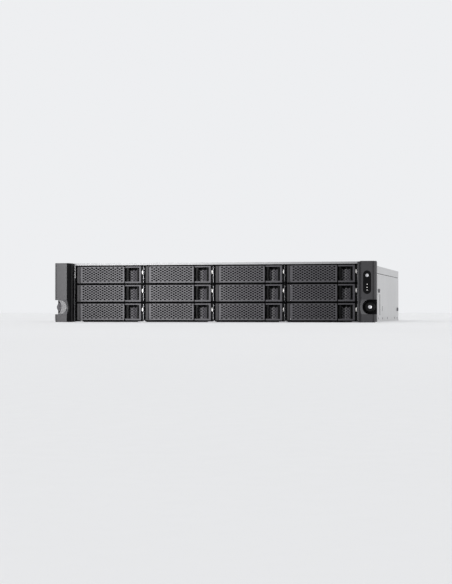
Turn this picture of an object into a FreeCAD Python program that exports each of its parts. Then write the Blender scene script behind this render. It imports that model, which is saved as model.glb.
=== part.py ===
import FreeCAD, Part
import os
import re
import Sketcher

# A 2U, 19-inch rack storage server with twelve 3.5-inch drive bays.
# X runs to the right, Y to the back and Z up.  The driving lengths below are
# measured from the front of the ears (Y), the underside (Z) and the middle (X).
# Every sub-part is then moved back-to-front so that the origin lies under the
# middle of the whole machine.

DIMENSIONS = {
    # rack and chassis
    "rack_width": 482.6,
    "unit_height": 88,
    "hole_spacing": 465.1,
    "overall_depth": 563,
    "chassis_width": 434,
    "chassis_rear": 535,
    "wall": 1.2,
    "skin": 1.0,
    "past": 1,
    "lid_split": 215,
    "lid_flange": 11.5,
    "lid_gap": 0.4,
    "lid_seam": 0.8,
    "lid_lip": 3.2,
    "return_inset": 1.1,
    "return_drop": 22,
    "return_height": 20.5,
    "emboss_front": 222,
    "emboss_low": 10,
    "emboss_length": 36,
    "emboss_height": 33,
    "emboss_depth": 0.5,
    "side_slot_front": 288.5,
    "side_slot_low": 16.8,
    "side_slot_length": 3,
    "side_slot_height": 8,
    "vent_left": -124,
    "vent_pitch": 9.5,
    "vent_width": 5.5,
    "vent_low": 46,
    "vent_height": 32,
    # drive bays
    "front_plane": 20,
    "column_pitch": 107,
    "row_pitch": 27.7,
    "bay_floor": 1.8,
    "bay_height": 26.7,
    "divider": 1.2,
    "cage_rear": 190,
    "cage_roof": 0.8,
    "shelf_inset": 1.5,
    # drive tray, lengths across it are counted from its left edge
    "tray_width": 105,
    "face_height": 24.9,
    "face_step": 3.2,
    "bezel_depth": 16,
    "joined": 0.1,
    "strip_left": 1.4,
    "strip_right": 5.3,
    "lever_right": 75,
    "lever_start": 8.9,
    "lever_thick": 3,
    "lever_height": 24.5,
    "pivot_inset": 7,
    "pivot_radius": 1.5,
    "pin_radius": 0.7,
    "knuckle_height": 22,
    "catch_width": 2.2,
    "catch_depth": 4,
    "catch_height": 6,
    "recess_left": 76.6,
    "recess_right": 97.9,
    "recess_bend": 82,
    "recess_radius": 12.5,
    "lip_width": 0.8,
    "slot_depth": 8,
    "frame_right": 101,
    "bar_top": 1.9,
    "bar_bottom": 2.3,
    "lamp_left": 101.5,
    "lamp_width": 2,
    "lamp_height": 7,
    "lamp_rise": 3.5,
    "lamp_proud": 0.6,
    "dot_radius": 0.75,
    "dot_rise": 5.4,
    "air_left": 11,
    "air_right": 69,
    "air_rib": 3,
    "air_height": 18,
    "catch_room": 9,
    "rail": 1.6,
    "rail_length": 149.5,
    "rail_height": 18,
    "rail_drop": 12.2,
    "plate_height": 24,
    "drive_width": 101.6,
    "drive_length": 147,
    "drive_height": 26.1,
    "drive_front": 38,
    "screw_radius": 1.5,
    "screw_drop": 2,
    "latch_left": 77,
    "latch_width": 3.4,
    "latch_inset": 5.5,
    "latch_depth": 5,
    "latch_nose": 1.8,
    "latch_grip": 12,
    "running": 0.1,
    # ears and their controls
    "ear_depth": 18,
    "flange": 2,
    "ear_inner": 217.5,
    "face_inner": 221.3,
    "face_outer": 238.2,
    "bevel_depth": 5,
    "corner_radius": 4,
    "screw_height": 22.2,
    "notch_radius": 10.6,
    "scoop_radius": 16.3,
    "scoop_depth": 4,
    "knob_radius": 7.2,
    "knob_front": 7,
    "knob_rear": 16,
    "nub_radius": 2.2,
    "collar_radius": 3.4,
    "collar_rear": 20.2,
    "stud_radius": 3,
    "stud_rear": 33,
    "slip": 0.05,
    "bracket_leg": 16,
    "panel_centre": 229.3,
    "panel_height": 57.5,
    "panel_width": 11.7,
    "panel_length": 33.6,
    "panel_front": 0.3,
    "panel_depth": 4,
    "button_height": 67.4,
    "button_radius": 2.75,
    "button_front": 0.1,
    "button_rear": 7,
    "button_room": 12,
    "control_lamp_radius": 0.9,
    "control_lamp_length": 1.5,
    # cooling
    "fan_front": 205,
    "fan_depth": 38,
    "fan_size": 80,
    "fan_pitch": 118,
    "fan_level": 43,
    "fan_bore": 38.5,
    "fan_hub": 17,
    "fan_rib": 3,
    "fan_seat": 4,
    "rotor_gap": 3,
    "blade_reach": 34.5,
    "blade_root": 2,
    "blade_chord": 22,
    "blade_thick": 1.4,
    # boards
    "board_front": 262,
    "board_length": 240,
    "board_left": -128,
    "board_width": 338,
    "board_level": 7,
    "board_thick": 1.6,
    "backplane_front": 194,
    "backplane_thick": 2.4,
    "plug_width": 44,
    "plug_depth": 7.5,
    "plug_height": 6,
    "plug_drop": 10.5,
    "window_width": 80,
    "window_height": 12,
    "cooler_left": -20,
    "cooler_front": 312,
    "cooler_width": 76,
    "cooler_length": 80,
    "cooler_base": 8,
    "fin_pitch": 6.2,
    "fin_thick": 1.6,
    "fin_height": 44,
    "memory_left": 72,
    "memory_pitch": 9,
    "memory_thick": 5,
    "memory_front": 284,
    "memory_length": 134,
    "memory_height": 33,
    # expansion slots and rear sockets
    "slot_left": 110,
    "slot_pitch": 22,
    "slot_window": 14,
    "slot_low": 8,
    "slot_height": 68,
    "cover_width": 18.4,
    "cover_low": 4,
    "cover_height": 79,
    "cover_tab": 12,
    "card_socket_front": 402,
    "card_socket_width": 7.5,
    "card_socket_length": 88,
    "card_socket_height": 11,
    "socket_low": 8.5,
    "socket_margin": 0.1,
    "socket_proud": 0.4,
    "socket_back": 3,
    # power supplies, lengths across one are counted from its left edge
    "psu_left": -213.2,
    "psu_width": 73.5,
    "psu_height": 40,
    "psu_front": 352,
    "psu_rear": 537,
    "psu_level": 2.6,
    "psu_pitch": 41.6,
    "inlet_left": 7,
    "inlet_width": 27.4,
    "inlet_low": 9,
    "inlet_height": 19.6,
    "inlet_depth": 15,
    "blade_pin_width": 2,
    "blade_pin_height": 4,
    "blade_pin_length": 10,
    "psu_fan_centre": 53,
    "psu_fan_radius": 14.5,
    "psu_fan_proud": 1,
    "handle_left": 36,
    "handle_bar": 3,
    "handle_low": 3,
    "handle_height": 34.5,
    "handle_foot": 3.5,
    "handle_grip": 4,
    "tab_thick": 1.4,
    "tab_inset": 2.4,
    "tab_low": 15.5,
    "tab_height": 9,
    "tab_length": 30,
    "tab_hidden": 22,
    "tab_hook": 6,
}

doc = FreeCAD.newDocument("rack_storage")
sheet = doc.addObject("Spreadsheet::Sheet", "dims")
for line, (alias, value) in enumerate(DIMENSIONS.items(), 1):
    sheet.set("A%d" % line, alias)
    sheet.set("B%d" % line, str(value))
    sheet.setAlias("B%d" % line, alias)
doc.recompute()

ALIAS = re.compile(r"\b(" + "|".join(DIMENSIONS) + r")\b")
TURN_TO_X = FreeCAD.Rotation(FreeCAD.Vector(0, 1, 0), 90)
TURN_TO_Y = FreeCAD.Rotation(FreeCAD.Vector(1, 0, 0), -90)
TURN_TO = {"x": TURN_TO_X, "y": TURN_TO_Y, "z": FreeCAD.Rotation()}
subparts = []


def bound(text):
    """The expression for a length that is written with the sheet's aliases."""
    return ALIAS.sub(r"dims.\1", str(text))


def bind(piece, **properties):
    for name, text in properties.items():
        piece.setExpression(name, bound(text))
    return piece


def place(piece, x, y, z):
    """Put a piece at a point whose three coordinates are expressions."""
    for axis, text in zip("xyz", (x, y, z)):
        piece.setExpression("Placement.Base." + axis, bound(text))
    return piece


# ---------------------------------------------------------------- primitives


def box(x, y, z, length, width, height):
    """A box from its low corner and its three sides."""
    piece = doc.addObject("Part::Box", "box")
    bind(piece, Length=length, Width=width, Height=height)
    return place(piece, x, y, z)


def cylinder(axis, x, y, z, radius, height):
    """A cylinder that starts at a point and runs along one axis."""
    piece = doc.addObject("Part::Cylinder", "cylinder")
    piece.Placement = FreeCAD.Placement(FreeCAD.Vector(), TURN_TO[axis])
    bind(piece, Radius=radius, Height=height)
    return place(piece, x, y, z)


def fuse(pieces):
    joined = doc.addObject("Part::MultiFuse", "fuse")
    joined.Shapes = pieces
    joined.Refine = True
    return joined


def cut(base, tools):
    """Cut one tool or several separate ones from a base."""
    result = doc.addObject("Part::Cut", "cut")
    result.Base = base
    result.Tool = fuse(tools) if len(tools) > 1 else tools[0]
    result.Refine = True
    return result


def group(pieces):
    """Separate solids kept together as one sub-part."""
    together = doc.addObject("Part::Compound", "group")
    together.Links = pieces
    return together


def upright_pill(x, y, z, width, height, depth):
    """A bar with round ends, standing up, from the middle of its front face."""
    radius = "(%s)/2" % width
    straight = "(%s)-(%s)" % (height, width)
    foot = "(%s)-(%s)/2" % (z, straight)
    return fuse([
        box("(%s)-%s" % (x, radius), y, foot, width, depth, straight),
        cylinder("y", x, y, foot, radius, depth),
        cylinder("y", x, y, "%s+%s" % (foot, straight), radius, depth),
    ])


def subpart(piece, label, x="0", y="0", z="0"):
    """Name a finished piece and put it in the machine's frame."""
    piece.Label = label
    place(piece, x, "%s-overall_depth/2" % y, z)
    subparts.append(piece)
    return piece


def repeat(master, label, x="0", y="0", z="0"):
    """One more copy of a finished piece, as a sub-part of its own."""
    copy = doc.addObject("App::Link", "copy")
    copy.setLink(master)
    return subpart(copy, label, x, y, z)


# ------------------------------------------------------- sketches and bodies


def new_body(name):
    return doc.addObject("PartDesign::Body", name)


def new_sketch(body, role):
    plane = [item for item in body.Origin.OriginFeatures if item.Role == role][0]
    sketch = body.newObject("Sketcher::SketchObject", "sketch")
    sketch.AttachmentSupport = [(plane, "")]
    sketch.MapMode = "FlatFace"
    return sketch


def outline(body, role, points):
    """A closed outline of straight lines with every corner bound to the sheet."""
    sketch = new_sketch(body, role)
    count = len(points)
    start = [[float(sheet.evalExpression(bound(text))) for text in point] for point in points]
    for index, here in enumerate(start):
        there = start[(index + 1) % count]
        sketch.addGeometry(Part.LineSegment(FreeCAD.Vector(*here, 0), FreeCAD.Vector(*there, 0)))
    for index in range(count):
        sketch.addConstraint(Sketcher.Constraint("Coincident", index, 2, (index + 1) % count, 1))
    for index, point in enumerate(points):
        for kind, text, value in zip(("DistanceX", "DistanceY"), point, start[index]):
            rule = sketch.addConstraint(Sketcher.Constraint(kind, -1, 1, index, 1, value))
            sketch.setExpression("Constraints[%d]" % rule, bound(text))
    return sketch


def pad(body, sketch, length):
    feature = body.newObject("PartDesign::Pad", "pad")
    feature.Profile = sketch
    bind(feature, Length=length)
    return feature


def revolve(body, sketch):
    feature = body.newObject("PartDesign::Revolution", "revolution")
    feature.Profile = sketch
    feature.ReferenceAxis = (sketch, ["V_Axis"])
    feature.Angle = 360
    return feature


def round_edges(body, base, chosen, radius):
    """Round those edges of a feature that a test picks out."""
    doc.recompute()
    names = ["Edge%d" % (index + 1) for index, edge in enumerate(base.Shape.Edges) if chosen(edge)]
    feature = body.newObject("PartDesign::Fillet", "fillet")
    feature.Base = (base, names)
    bind(feature, Radius=radius)
    return feature


# ------------------------------------------------------------------- chassis

SIDES = (-1, 1)
VENT_SLOTS = 22
SLOT_COUNT = 4
# from the front and from the underside
RAIL_STUDS = ((237, 49), (511, 20))
WALL_SCREWS = ((235, 5), (290, 5), (360, 5), (469, 5), (511, 5))
BRACKET_SCREWS = ((30, 20), (30, 68))
# from the middle and from the front
LID_SCREWS = ((-200, 205), (0, 205), (200, 205))
# left edge, width and height of each socket block, then its depth into the case
NETWORK_BLOCK = ("-112", "68", "15.4", "20")
MODULE_BLOCK = ("-36", "34", "13.4", "45")
SERVICE_BLOCK = ("8", "17", "15.4", "20")
DISPLAY_BLOCK = ("38", "18", "9.4", "14")
# left edge, low edge, width and height of each socket
NETWORK_JACKS = [(-109.5 + 16.6 * index, 12, 13, 10) for index in range(4)]
MODULE_PORTS = [(-34.5 + 16 * index, 11, 14, 9.5) for index in range(2)]
SERVICE_JACK = [(10, 12, 13, 10)]


def side_box(side, inner, outer, y, z, depth, height):
    """A box between two distances from the middle, on the left or the right."""
    low = inner if side > 0 else "-(%s)" % outer
    return box(low, y, z, "(%s)-(%s)" % (outer, inner), depth, height)


def tub():
    """The folded floor and side walls, with a return behind each lid seam."""
    inside = "chassis_width/2-wall"
    length = "chassis_rear-wall-front_plane"
    shell = [box("-chassis_width/2", "front_plane", "0", "chassis_width", length, "skin")]
    tools = []
    for side in SIDES:
        shell.append(side_box(side, inside, "chassis_width/2", "front_plane", "0",
                              length, "unit_height-lid_flange-lid_seam"))
        shell.append(side_box(side, "chassis_width/2-2*return_inset", "chassis_width/2-return_inset",
                              "front_plane+2", "unit_height-return_drop", length + "-2", "return_height"))
        tools.append(side_box(side, "chassis_width/2-emboss_depth", "chassis_width/2+past",
                              "emboss_front", "emboss_low", "emboss_length", "emboss_height"))
        tools.append(side_box(side, inside + "-past", "chassis_width/2+past", "side_slot_front",
                              "side_slot_low", "side_slot_length", "side_slot_height"))
    return cut(fuse(shell), tools)


def rear_wall():
    """The rear panel, with windows for what plugs in and slots for the air."""
    behind = "chassis_rear-wall-past"
    through = "wall+2*past"
    panel = box("-chassis_width/2", "chassis_rear-wall", "0",
                "chassis_width", "wall", "unit_height-lid_flange-lid_seam")
    upper = box("-chassis_width/2+return_inset", "chassis_rear-wall", "0",
                "chassis_width-2*return_inset", "wall", "unit_height-skin-running")
    windows = [box("psu_left-socket_proud", behind, "psu_level-socket_proud", "psu_width+2*socket_proud",
                   through, "psu_height+psu_pitch+2*socket_proud")]
    for left, width, height, _ in (NETWORK_BLOCK, MODULE_BLOCK, SERVICE_BLOCK, DISPLAY_BLOCK):
        windows.append(box(left, behind, "socket_low", width, through, height))
    for index in range(SLOT_COUNT):
        left = "slot_left+(cover_width-slot_window)/2+%d*slot_pitch" % index
        windows.append(box(left, behind, "slot_low", "slot_window", through, "slot_height"))
    for index in range(VENT_SLOTS):
        windows.append(box("vent_left+%d*vent_pitch" % index, behind, "vent_low",
                           "vent_width", through, "vent_height"))
    return cut(fuse([panel, upper]), windows)


def top_cover(front, rear):
    """A flat lid with a short flange down each side."""
    length = "(%s)-(%s)" % (rear, front)
    pieces = [box("-chassis_width/2", front, "unit_height-skin", "chassis_width", length, "skin")]
    for side in SIDES:
        pieces.append(side_box(side, "chassis_width/2-skin", "chassis_width/2", front,
                               "unit_height-lid_flange", length, "lid_flange"))
    return fuse(pieces)


def front_top_cover():
    """The fixed lid, with a lip over the trays and three holes for its screws."""
    lip = box("-chassis_width/2", "front_plane", "unit_height-lid_lip", "chassis_width", "skin", "lid_lip")
    holes = [cylinder("z", x, y, "unit_height-skin-past", "stud_radius", "skin+2*past") for x, y in LID_SCREWS]
    return cut(fuse([top_cover("front_plane", "lid_split"), lip]), holes)


def bay_row(number):
    """The lowest level of a row of bays, counted from the bottom."""
    return "(bay_floor+%d*row_pitch)" % number


def drive_cage():
    """An egg-crate of flat sheets: walls, dividers, floor, roof and shelves."""
    depth = "cage_rear-front_plane"
    top = bay_row(2) + "+bay_height"
    edge = "(2*column_pitch-divider/2)"
    sheets = [
        box("-" + edge, "front_plane", "skin", "2*" + edge, depth, "bay_floor-skin"),
        box("-" + edge, "front_plane", top, "2*" + edge, depth, "cage_roof"),
    ]
    for index in range(5):
        sheets.append(box("%d*column_pitch-divider/2" % (index - 2), "front_plane", "bay_floor",
                          "divider", depth, top + "-bay_floor"))
    for index in range(4):
        for row in (1, 2):
            sheets.append(box("%d*column_pitch+divider/2" % (index - 2), "front_plane+shelf_inset",
                              bay_row(row) + "-(row_pitch-bay_height)", "column_pitch-divider",
                              depth + "-shelf_inset", "row_pitch-bay_height"))
    return group(sheets)


# --------------------------------------------------------------- drive trays

HALF_FACE = "face_height/2"
BLOCK_FRONT = "front_plane+face_step"
DRIVE_SCREWS = (70, 165)


def across(text):
    """A place across the tray, counted from its left edge."""
    return "(%s)-tray_width/2" % text


def recess_tools():
    """The finger recess: a deep left part that bends forwards to a lip, and a slot beside the lip."""
    floor = "-%s+bar_bottom" % HALF_FACE
    height = "face_height-bar_top-bar_bottom"
    lip_right = "recess_bend+recess_radius+lip_width"
    return [
        box(across("recess_left"), "front_plane-past", floor,
            "recess_bend-recess_left", "recess_radius+past", height),
        cylinder("z", across("recess_bend"), "front_plane", floor, "recess_radius", height),
        box(across(lip_right), "front_plane-past", floor,
            "recess_right-(%s)" % lip_right, "slot_depth+past", height),
    ]


def air_windows():
    """Two windows behind the lever, side by side, and a pocket for its catch."""
    width = "(air_right-air_left-air_rib)/2"
    reach = "front_plane+bezel_depth+rail+past"
    windows = []
    for left in ("air_left", "air_left+%s+air_rib" % width):
        windows.append(box(across(left), "front_plane", "-air_height/2", width,
                           "(%s)-front_plane" % reach, "air_height"))
    windows.append(box(across("air_right+catch_depth/2-0.5"), "front_plane", "-catch_room/2",
                       "6.5", "11", "catch_room"))
    return windows


def lamp_pieces():
    """The status lamp's light pipe and the small activity lamp above it."""
    middle = across("lamp_left+lamp_width/2")
    sunk = "2"
    return [
        upright_pill(middle, BLOCK_FRONT + "-lamp_proud", "lamp_rise", "lamp_width", "lamp_height",
                     "lamp_proud+" + sunk),
        cylinder("y", middle, BLOCK_FRONT + "-lamp_proud/3", "lamp_rise+dot_rise", "dot_radius",
                 "lamp_proud/3+" + sunk),
    ]


def tray_carrier(lamps):
    """The tray's moulded front and its two side rails, in one piece."""
    step = "face_step+joined"
    frame_width = "frame_right-recess_left"
    back = "front_plane+bezel_depth-joined"
    pieces = [
        box(across("0"), BLOCK_FRONT, "-" + HALF_FACE, "tray_width", "bezel_depth-face_step", "face_height"),
        box(across("strip_left"), "front_plane", "-" + HALF_FACE, "strip_right-strip_left", step, "face_height"),
        box(across("recess_right"), "front_plane", "-" + HALF_FACE, "frame_right-recess_right",
            step, "face_height"),
        box(across("recess_left"), "front_plane", HALF_FACE + "-bar_top", frame_width, step, "bar_top"),
        box(across("recess_left"), "front_plane", "-" + HALF_FACE, frame_width, step, "bar_bottom"),
        box(across("0"), back, "-rail_drop", "tray_width", "rail", "plate_height"),
    ]
    knuckle_room = "(knuckle_height/2+2*running)"
    lug = "face_height/2-" + knuckle_room
    for low in ("-" + HALF_FACE, knuckle_room):
        pieces.append(box(across("strip_right-joined"), "front_plane", low,
                          "pivot_inset-strip_right+joined", "2*pivot_radius", lug))
        pieces.append(cylinder("z", across("pivot_inset"), "front_plane+pivot_radius", low, "pivot_radius", lug))
    for left in ("0", "tray_width-rail"):
        pieces.append(box(across(left), back, "-rail_drop", "rail", "rail_length", "rail_height"))
    bore = cylinder("z", across("pivot_inset"), "front_plane+pivot_radius", "-face_height",
                    "pin_radius+slip", "2*face_height")
    screw_holes = [cylinder("x", across("-past"), depth, "-screw_drop", "screw_radius", "tray_width+2*past")
                   for depth in DRIVE_SCREWS]
    return cut(fuse(pieces), recess_tools() + air_windows() + [bore] + screw_holes + lamps)


def drive_tray():
    """One tray: carrier, drive, four drive screws and the two lamps."""
    lamps = lamp_pieces()
    side_gap = "(tray_width-drive_width)/2"
    drive = box(across(side_gap), "drive_front", "-drive_height/2", "drive_width", "drive_length", "drive_height")
    screws = []
    for depth in DRIVE_SCREWS:
        for left in ("0", "tray_width-" + side_gap):
            screws.append(cylinder("x", across(left), depth, "-screw_drop", "screw_radius", side_gap))
    return group([tray_carrier(lamps), drive] + screws + lamps)


def tray_lever():
    """The wide lever on an upright pin, with a catch behind its free end."""
    pivot = across("pivot_inset")
    axis_depth = "front_plane+pivot_radius"
    return fuse([
        box(across("lever_start"), "front_plane", "-lever_height/2",
            "lever_right-lever_start", "lever_thick", "lever_height"),
        box(pivot, "front_plane", "-knuckle_height/2", "lever_start-pivot_inset+joined",
            "lever_thick", "knuckle_height"),
        cylinder("z", pivot, axis_depth, "-knuckle_height/2", "pivot_radius", "knuckle_height"),
        cylinder("z", pivot, axis_depth, "-face_height/2+2*running", "pin_radius", "face_height-4*running"),
        box(across("lever_right-catch_width-0.5"), "front_plane+lever_thick-joined", "-catch_height/2",
            "catch_width", "catch_depth", "catch_height"),
    ])


def lever_latch():
    """The sprung slider at the left of the finger recess."""
    low = "-%s+bar_bottom+2*running" % HALF_FACE
    height = "face_height-bar_top-bar_bottom-4*running"
    front = "front_plane+latch_inset"
    nose_height = "7"
    return fuse([
        box(across("latch_left"), front, low, "latch_width", "latch_depth", height),
        box(across("latch_left-latch_nose"), front + "+latch_depth/2", "-%s/2" % nose_height,
            "latch_nose+2*joined", "screw_radius+joined", nose_height),
        box(across("latch_left+latch_width/4"), front + "-1.2", "-latch_grip/2",
            "screw_radius+joined", "1.2+2*joined", "latch_grip"),
    ])


def build_bays():
    masters = {
        "drive_tray": drive_tray(),
        "tray_lever": tray_lever(),
        "lever_latch": lever_latch(),
    }
    number = 0
    for row in (2, 1, 0):
        for column in range(4):
            number += 1
            x = "column_pitch*%.1f" % (column - 1.5)
            z = bay_row(row) + "+bay_height/2"
            for name, master in masters.items():
                repeat(master, "%s_%d" % (name, number), x, "0", z)


# ---------------------------------------------------------------------- ears


def ear_block(side):
    """A plastic ear: its plan drawn once, padded to the full height."""
    body = new_body("ear_block")
    mirror = "%d*(%%s)" % side
    plan = (
        ("face_inner", "0"),
        ("ear_inner+0.6", "5"),
        ("ear_inner", "front_plane"),
        ("ear_inner+1", "front_plane"),
        ("ear_inner+1", "ear_depth"),
        ("rack_width/2", "ear_depth"),
        ("rack_width/2", "bevel_depth"),
        ("face_outer", "0"),
    )
    profile = [(mirror % x, y) for x, y in plan]
    block = pad(body, outline(body, "XY_Plane", profile), "unit_height")
    outer = DIMENSIONS["rack_width"] / 2

    def at_lower_corner(edge):
        centre = edge.CenterOfMass
        return abs(abs(centre.x) - outer) < 0.01 and centre.z < 0.01 and edge.BoundBox.YLength > 5

    round_edges(body, block, at_lower_corner, "corner_radius")
    return body


def notch_tools(side):
    """The thumbscrew's U-shaped notch and the scoop across the ear."""
    middle = "%d*hole_spacing/2" % side
    through = "ear_depth+2*past"
    scoop_left = "-rack_width/2-past" if side < 0 else "ear_inner-5"
    return [
        cylinder("y", middle, "-past", "screw_height", "notch_radius", through),
        side_box(side, "hole_spacing/2", "rack_width/2+past", "-past", "screw_height-notch_radius",
                 through, "2*notch_radius"),
        cylinder("x", scoop_left, "scoop_depth-scoop_radius", "screw_height", "scoop_radius",
                 "rack_width/2-ear_inner+5+past"),
    ]


def control_pill(front, depth):
    return upright_pill("panel_centre", front, "panel_height", "panel_width", "panel_length", depth)


def button_bore(radius, depth):
    return cylinder("y", "panel_centre", "-past", "button_height", radius, depth)


def right_ear():
    """The ear with a pocket for the control window and a bore for the button."""
    ear = cut(ear_block(1), notch_tools(1))
    ear = cut(ear, [control_pill("-past", "panel_front+panel_depth+past")])
    return cut(ear, [button_bore("button_radius+3*running", "button_room")])


CONTROL_LAMPS = (54.7, 50.2, 46.4)


def control_panel():
    """The gloss window with a bore for the button and three lamps."""
    lamps = [cylinder("y", "panel_centre", "panel_front-running", height, "control_lamp_radius",
                      "control_lamp_length") for height in CONTROL_LAMPS]
    bore = button_bore("button_radius+running", "button_room")
    return group([cut(control_pill("panel_front", "panel_depth"), [bore] + lamps)] + lamps)


def power_button():
    """A short round plunger with a bevelled rim."""
    body = new_body("power_button_body")
    bevel = "4*running"
    profile = outline(body, "XY_Plane", (
        ("0", "button_front"), ("button_radius-" + bevel, "button_front"),
        ("button_radius", "button_front+" + bevel), ("button_radius", "button_rear"), ("0", "button_rear"),
    ))
    revolve(body, profile)
    return body


def thumbscrew():
    """A knob, a collar that turns in the flange and a stud for the rack's nut."""
    body = new_body("thumbscrew_body")
    bevel = "5*running"
    point = "8*running"
    profile = outline(body, "XY_Plane", (
        ("0", "knob_front-1"), ("nub_radius", "knob_front-1"), ("nub_radius", "knob_front"),
        ("knob_radius-" + bevel, "knob_front"), ("knob_radius", "knob_front+" + bevel),
        ("knob_radius", "knob_rear"), ("collar_radius", "knob_rear"), ("collar_radius", "collar_rear"),
        ("stud_radius", "collar_rear"), ("stud_radius", "stud_rear"),
        ("stud_radius-" + point, "stud_rear+" + point), ("0", "stud_rear+" + point),
    ))
    revolve(body, profile)
    return body


def rack_brackets():
    """Two steel angles: a flange behind each ear, screwed to the side wall."""
    margin = "1"
    inset = "3"
    brackets = []
    for side in SIDES:
        leg_outer = "chassis_width/2+flange"
        flange = side_box(side, "ear_inner+1.1", "rack_width/2", "ear_depth", margin,
                          "flange", "unit_height-2*" + margin)
        leg = side_box(side, "chassis_width/2", leg_outer, "front_plane", inset,
                       "bracket_leg", "unit_height-2*" + inset)
        bridge = side_box(side, leg_outer + "-0.4", "ear_inner+flange", "ear_depth", inset,
                          "flange+1", "unit_height-2*" + inset)
        bore = cylinder("y", "%d*hole_spacing/2" % side, "ear_depth-past", "screw_height",
                        "collar_radius+slip", "flange+2*past")
        brackets.append(cut(fuse([flange, leg, bridge]), [bore]))
    return group(brackets)


# ------------------------------------------------------------------- cooling

FAN_PLACES = (-1, 0, 1)
BLADES = 7
BLADE_PITCH = 35
FIRST_BLADE = 11


def fan_frame():
    """A square duct, with a motor seat held by four struts."""
    half = "fan_size/2"
    duct = cut(
        box("-" + half, "fan_front", "-" + half, "fan_size", "fan_depth", "fan_size"),
        [cylinder("y", "0", "fan_front-past", "0", "fan_bore", "fan_depth+2*past")])
    seat_front = "fan_front+fan_depth-fan_seat"
    reach = "(fan_bore+5*joined)"
    struts = [
        box("-" + reach, seat_front, "-fan_rib/2", "2*" + reach, "fan_seat", "fan_rib"),
        box("-fan_rib/2", seat_front, "-" + reach, "fan_rib", "fan_seat", "2*" + reach),
        cylinder("y", "0", seat_front, "0", "fan_hub", "fan_seat"),
    ]
    return fuse([duct] + struts)


def fan_frames(master):
    """The three frames side by side, as copies of one."""
    frames = []
    for step in FAN_PLACES:
        frame = doc.addObject("App::Link", "frame")
        frame.setLink(master)
        frames.append(place(frame, "%d*fan_pitch" % step, "0", "fan_level"))
    return group(frames)


def fan_rotor():
    """A hub with pitched blades."""
    hub_front = "fan_front+rotor_gap"
    hub_length = "fan_depth-fan_seat-rotor_gap-1"
    pieces = [cylinder("y", "0", hub_front, "0", "fan_hub", hub_length)]
    root = DIMENSIONS["fan_hub"] - DIMENSIONS["blade_root"]
    for index in range(BLADES):
        blade = doc.addObject("Part::Box", "blade")
        bind(blade, Length="blade_reach-fan_hub+blade_root", Width="blade_chord", Height="blade_thick")
        pitch = FreeCAD.Rotation(FreeCAD.Vector(1, 0, 0), BLADE_PITCH)
        around = FreeCAD.Rotation(FreeCAD.Vector(0, 1, 0), FIRST_BLADE + 360.0 / BLADES * index)
        start = around.multVec(FreeCAD.Vector(root, 0, 0))
        blade.Placement = FreeCAD.Placement(start, around.multiply(pitch))
        place(blade, start.x, hub_front + "+7", start.z)
        pieces.append(blade)
    return fuse(pieces)


# -------------------------------------------------------------------- boards


def backplane_board():
    """The upright board behind the drives, with an air window and a connector per bay."""
    windows = []
    connectors = []
    for row in range(3):
        level = bay_row(row) + "+bay_height/2"
        for column in range(4):
            centre = "column_pitch*%.1f" % (column - 1.5)
            windows.append(box(centre + "-window_width/2", "backplane_front-past", level + "-2",
                               "window_width", "backplane_thick+2*past", "window_height"))
            connectors.append(box(centre + "-window_width/2+5", "backplane_front-plug_depth",
                                  level + "-plug_drop", "plug_width", "plug_depth", "plug_height"))
    board = box("-2*column_pitch+2", "backplane_front", "3", "4*column_pitch-4",
                "backplane_thick", "unit_height-7")
    return group([cut(board, windows)] + connectors)


FIN_COUNT = 13
MEMORY_COUNT = 4


def main_board():
    """The main board with its processor cooler, memory and expansion connectors."""
    top = "board_level+board_thick"
    parts = [box("board_left", "board_front", "board_level", "board_width", "board_length", "board_thick")]
    cooler = [box("cooler_left", "cooler_front", top, "cooler_width", "cooler_length", "cooler_base")]
    for index in range(FIN_COUNT):
        cooler.append(box("cooler_left+%d*fin_pitch" % index, "cooler_front", top + "+cooler_base-joined",
                          "fin_thick", "cooler_length", "fin_height"))
    parts.append(fuse(cooler))
    for index in range(MEMORY_COUNT):
        parts.append(box("memory_left+%d*memory_pitch" % index, "memory_front", top,
                         "memory_thick", "memory_length", "memory_height"))
    for index in range(SLOT_COUNT):
        left = "slot_left+(cover_width-card_socket_width)/2+%d*slot_pitch" % index
        parts.append(box(left, "card_socket_front", top, "card_socket_width",
                         "card_socket_length", "card_socket_height"))
    return group(parts)


# --------------------------------------------------------------- rear pieces

# left edge and low edge of each blade in the power inlet
INLET_BLADES = ((12.3, 17.8), (26.0, 17.8), (19.1, 12.8))


def psu_module():
    """A hot-plug supply: case, power inlet, fan cover, handle and a latch pocket."""
    case = box("psu_left", "psu_front", "0", "psu_width", "psu_rear-psu_front", "psu_height")
    inlet = box("psu_left+inlet_left", "psu_rear-inlet_depth", "inlet_low",
                "inlet_width", "inlet_depth+past", "inlet_height")
    pocket = box("psu_left+psu_width-5", "psu_rear-tab_hidden-2", "tab_low-1.5",
                 "5+past", "tab_hidden+2+past", "tab_height+3")
    pieces = [cut(case, [inlet, pocket])]
    for left, low in INLET_BLADES:
        pieces.append(box("psu_left+%.1f" % left, "psu_rear-inlet_depth-joined", low,
                          "blade_pin_width", "blade_pin_length", "blade_pin_height"))
    foot = "psu_rear-joined"
    pieces.append(cylinder("y", "psu_left+psu_fan_centre", foot, "psu_height/2",
                           "psu_fan_radius", "psu_fan_proud+joined"))
    left = "psu_left+handle_left"
    for low in ("handle_low", "handle_low+handle_height-handle_foot"):
        pieces.append(box(left, foot, low, "handle_bar", "overall_depth-(%s)" % foot, "handle_foot"))
    pieces.append(box(left, "overall_depth-handle_grip", "handle_low", "handle_bar",
                      "handle_grip", "handle_height"))
    return fuse(pieces)


def psu_latch():
    """The spring tab beside the supply's handle."""
    edge = "psu_left+psu_width-tab_inset"
    return fuse([
        box(edge, "psu_rear-tab_hidden", "tab_low", "tab_thick", "tab_length", "tab_height"),
        box(edge + "-1.2", "psu_rear-tab_hidden+tab_length-2", "tab_low", "tab_thick+1.2",
            "tab_hook", "tab_height"),
    ])


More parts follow.
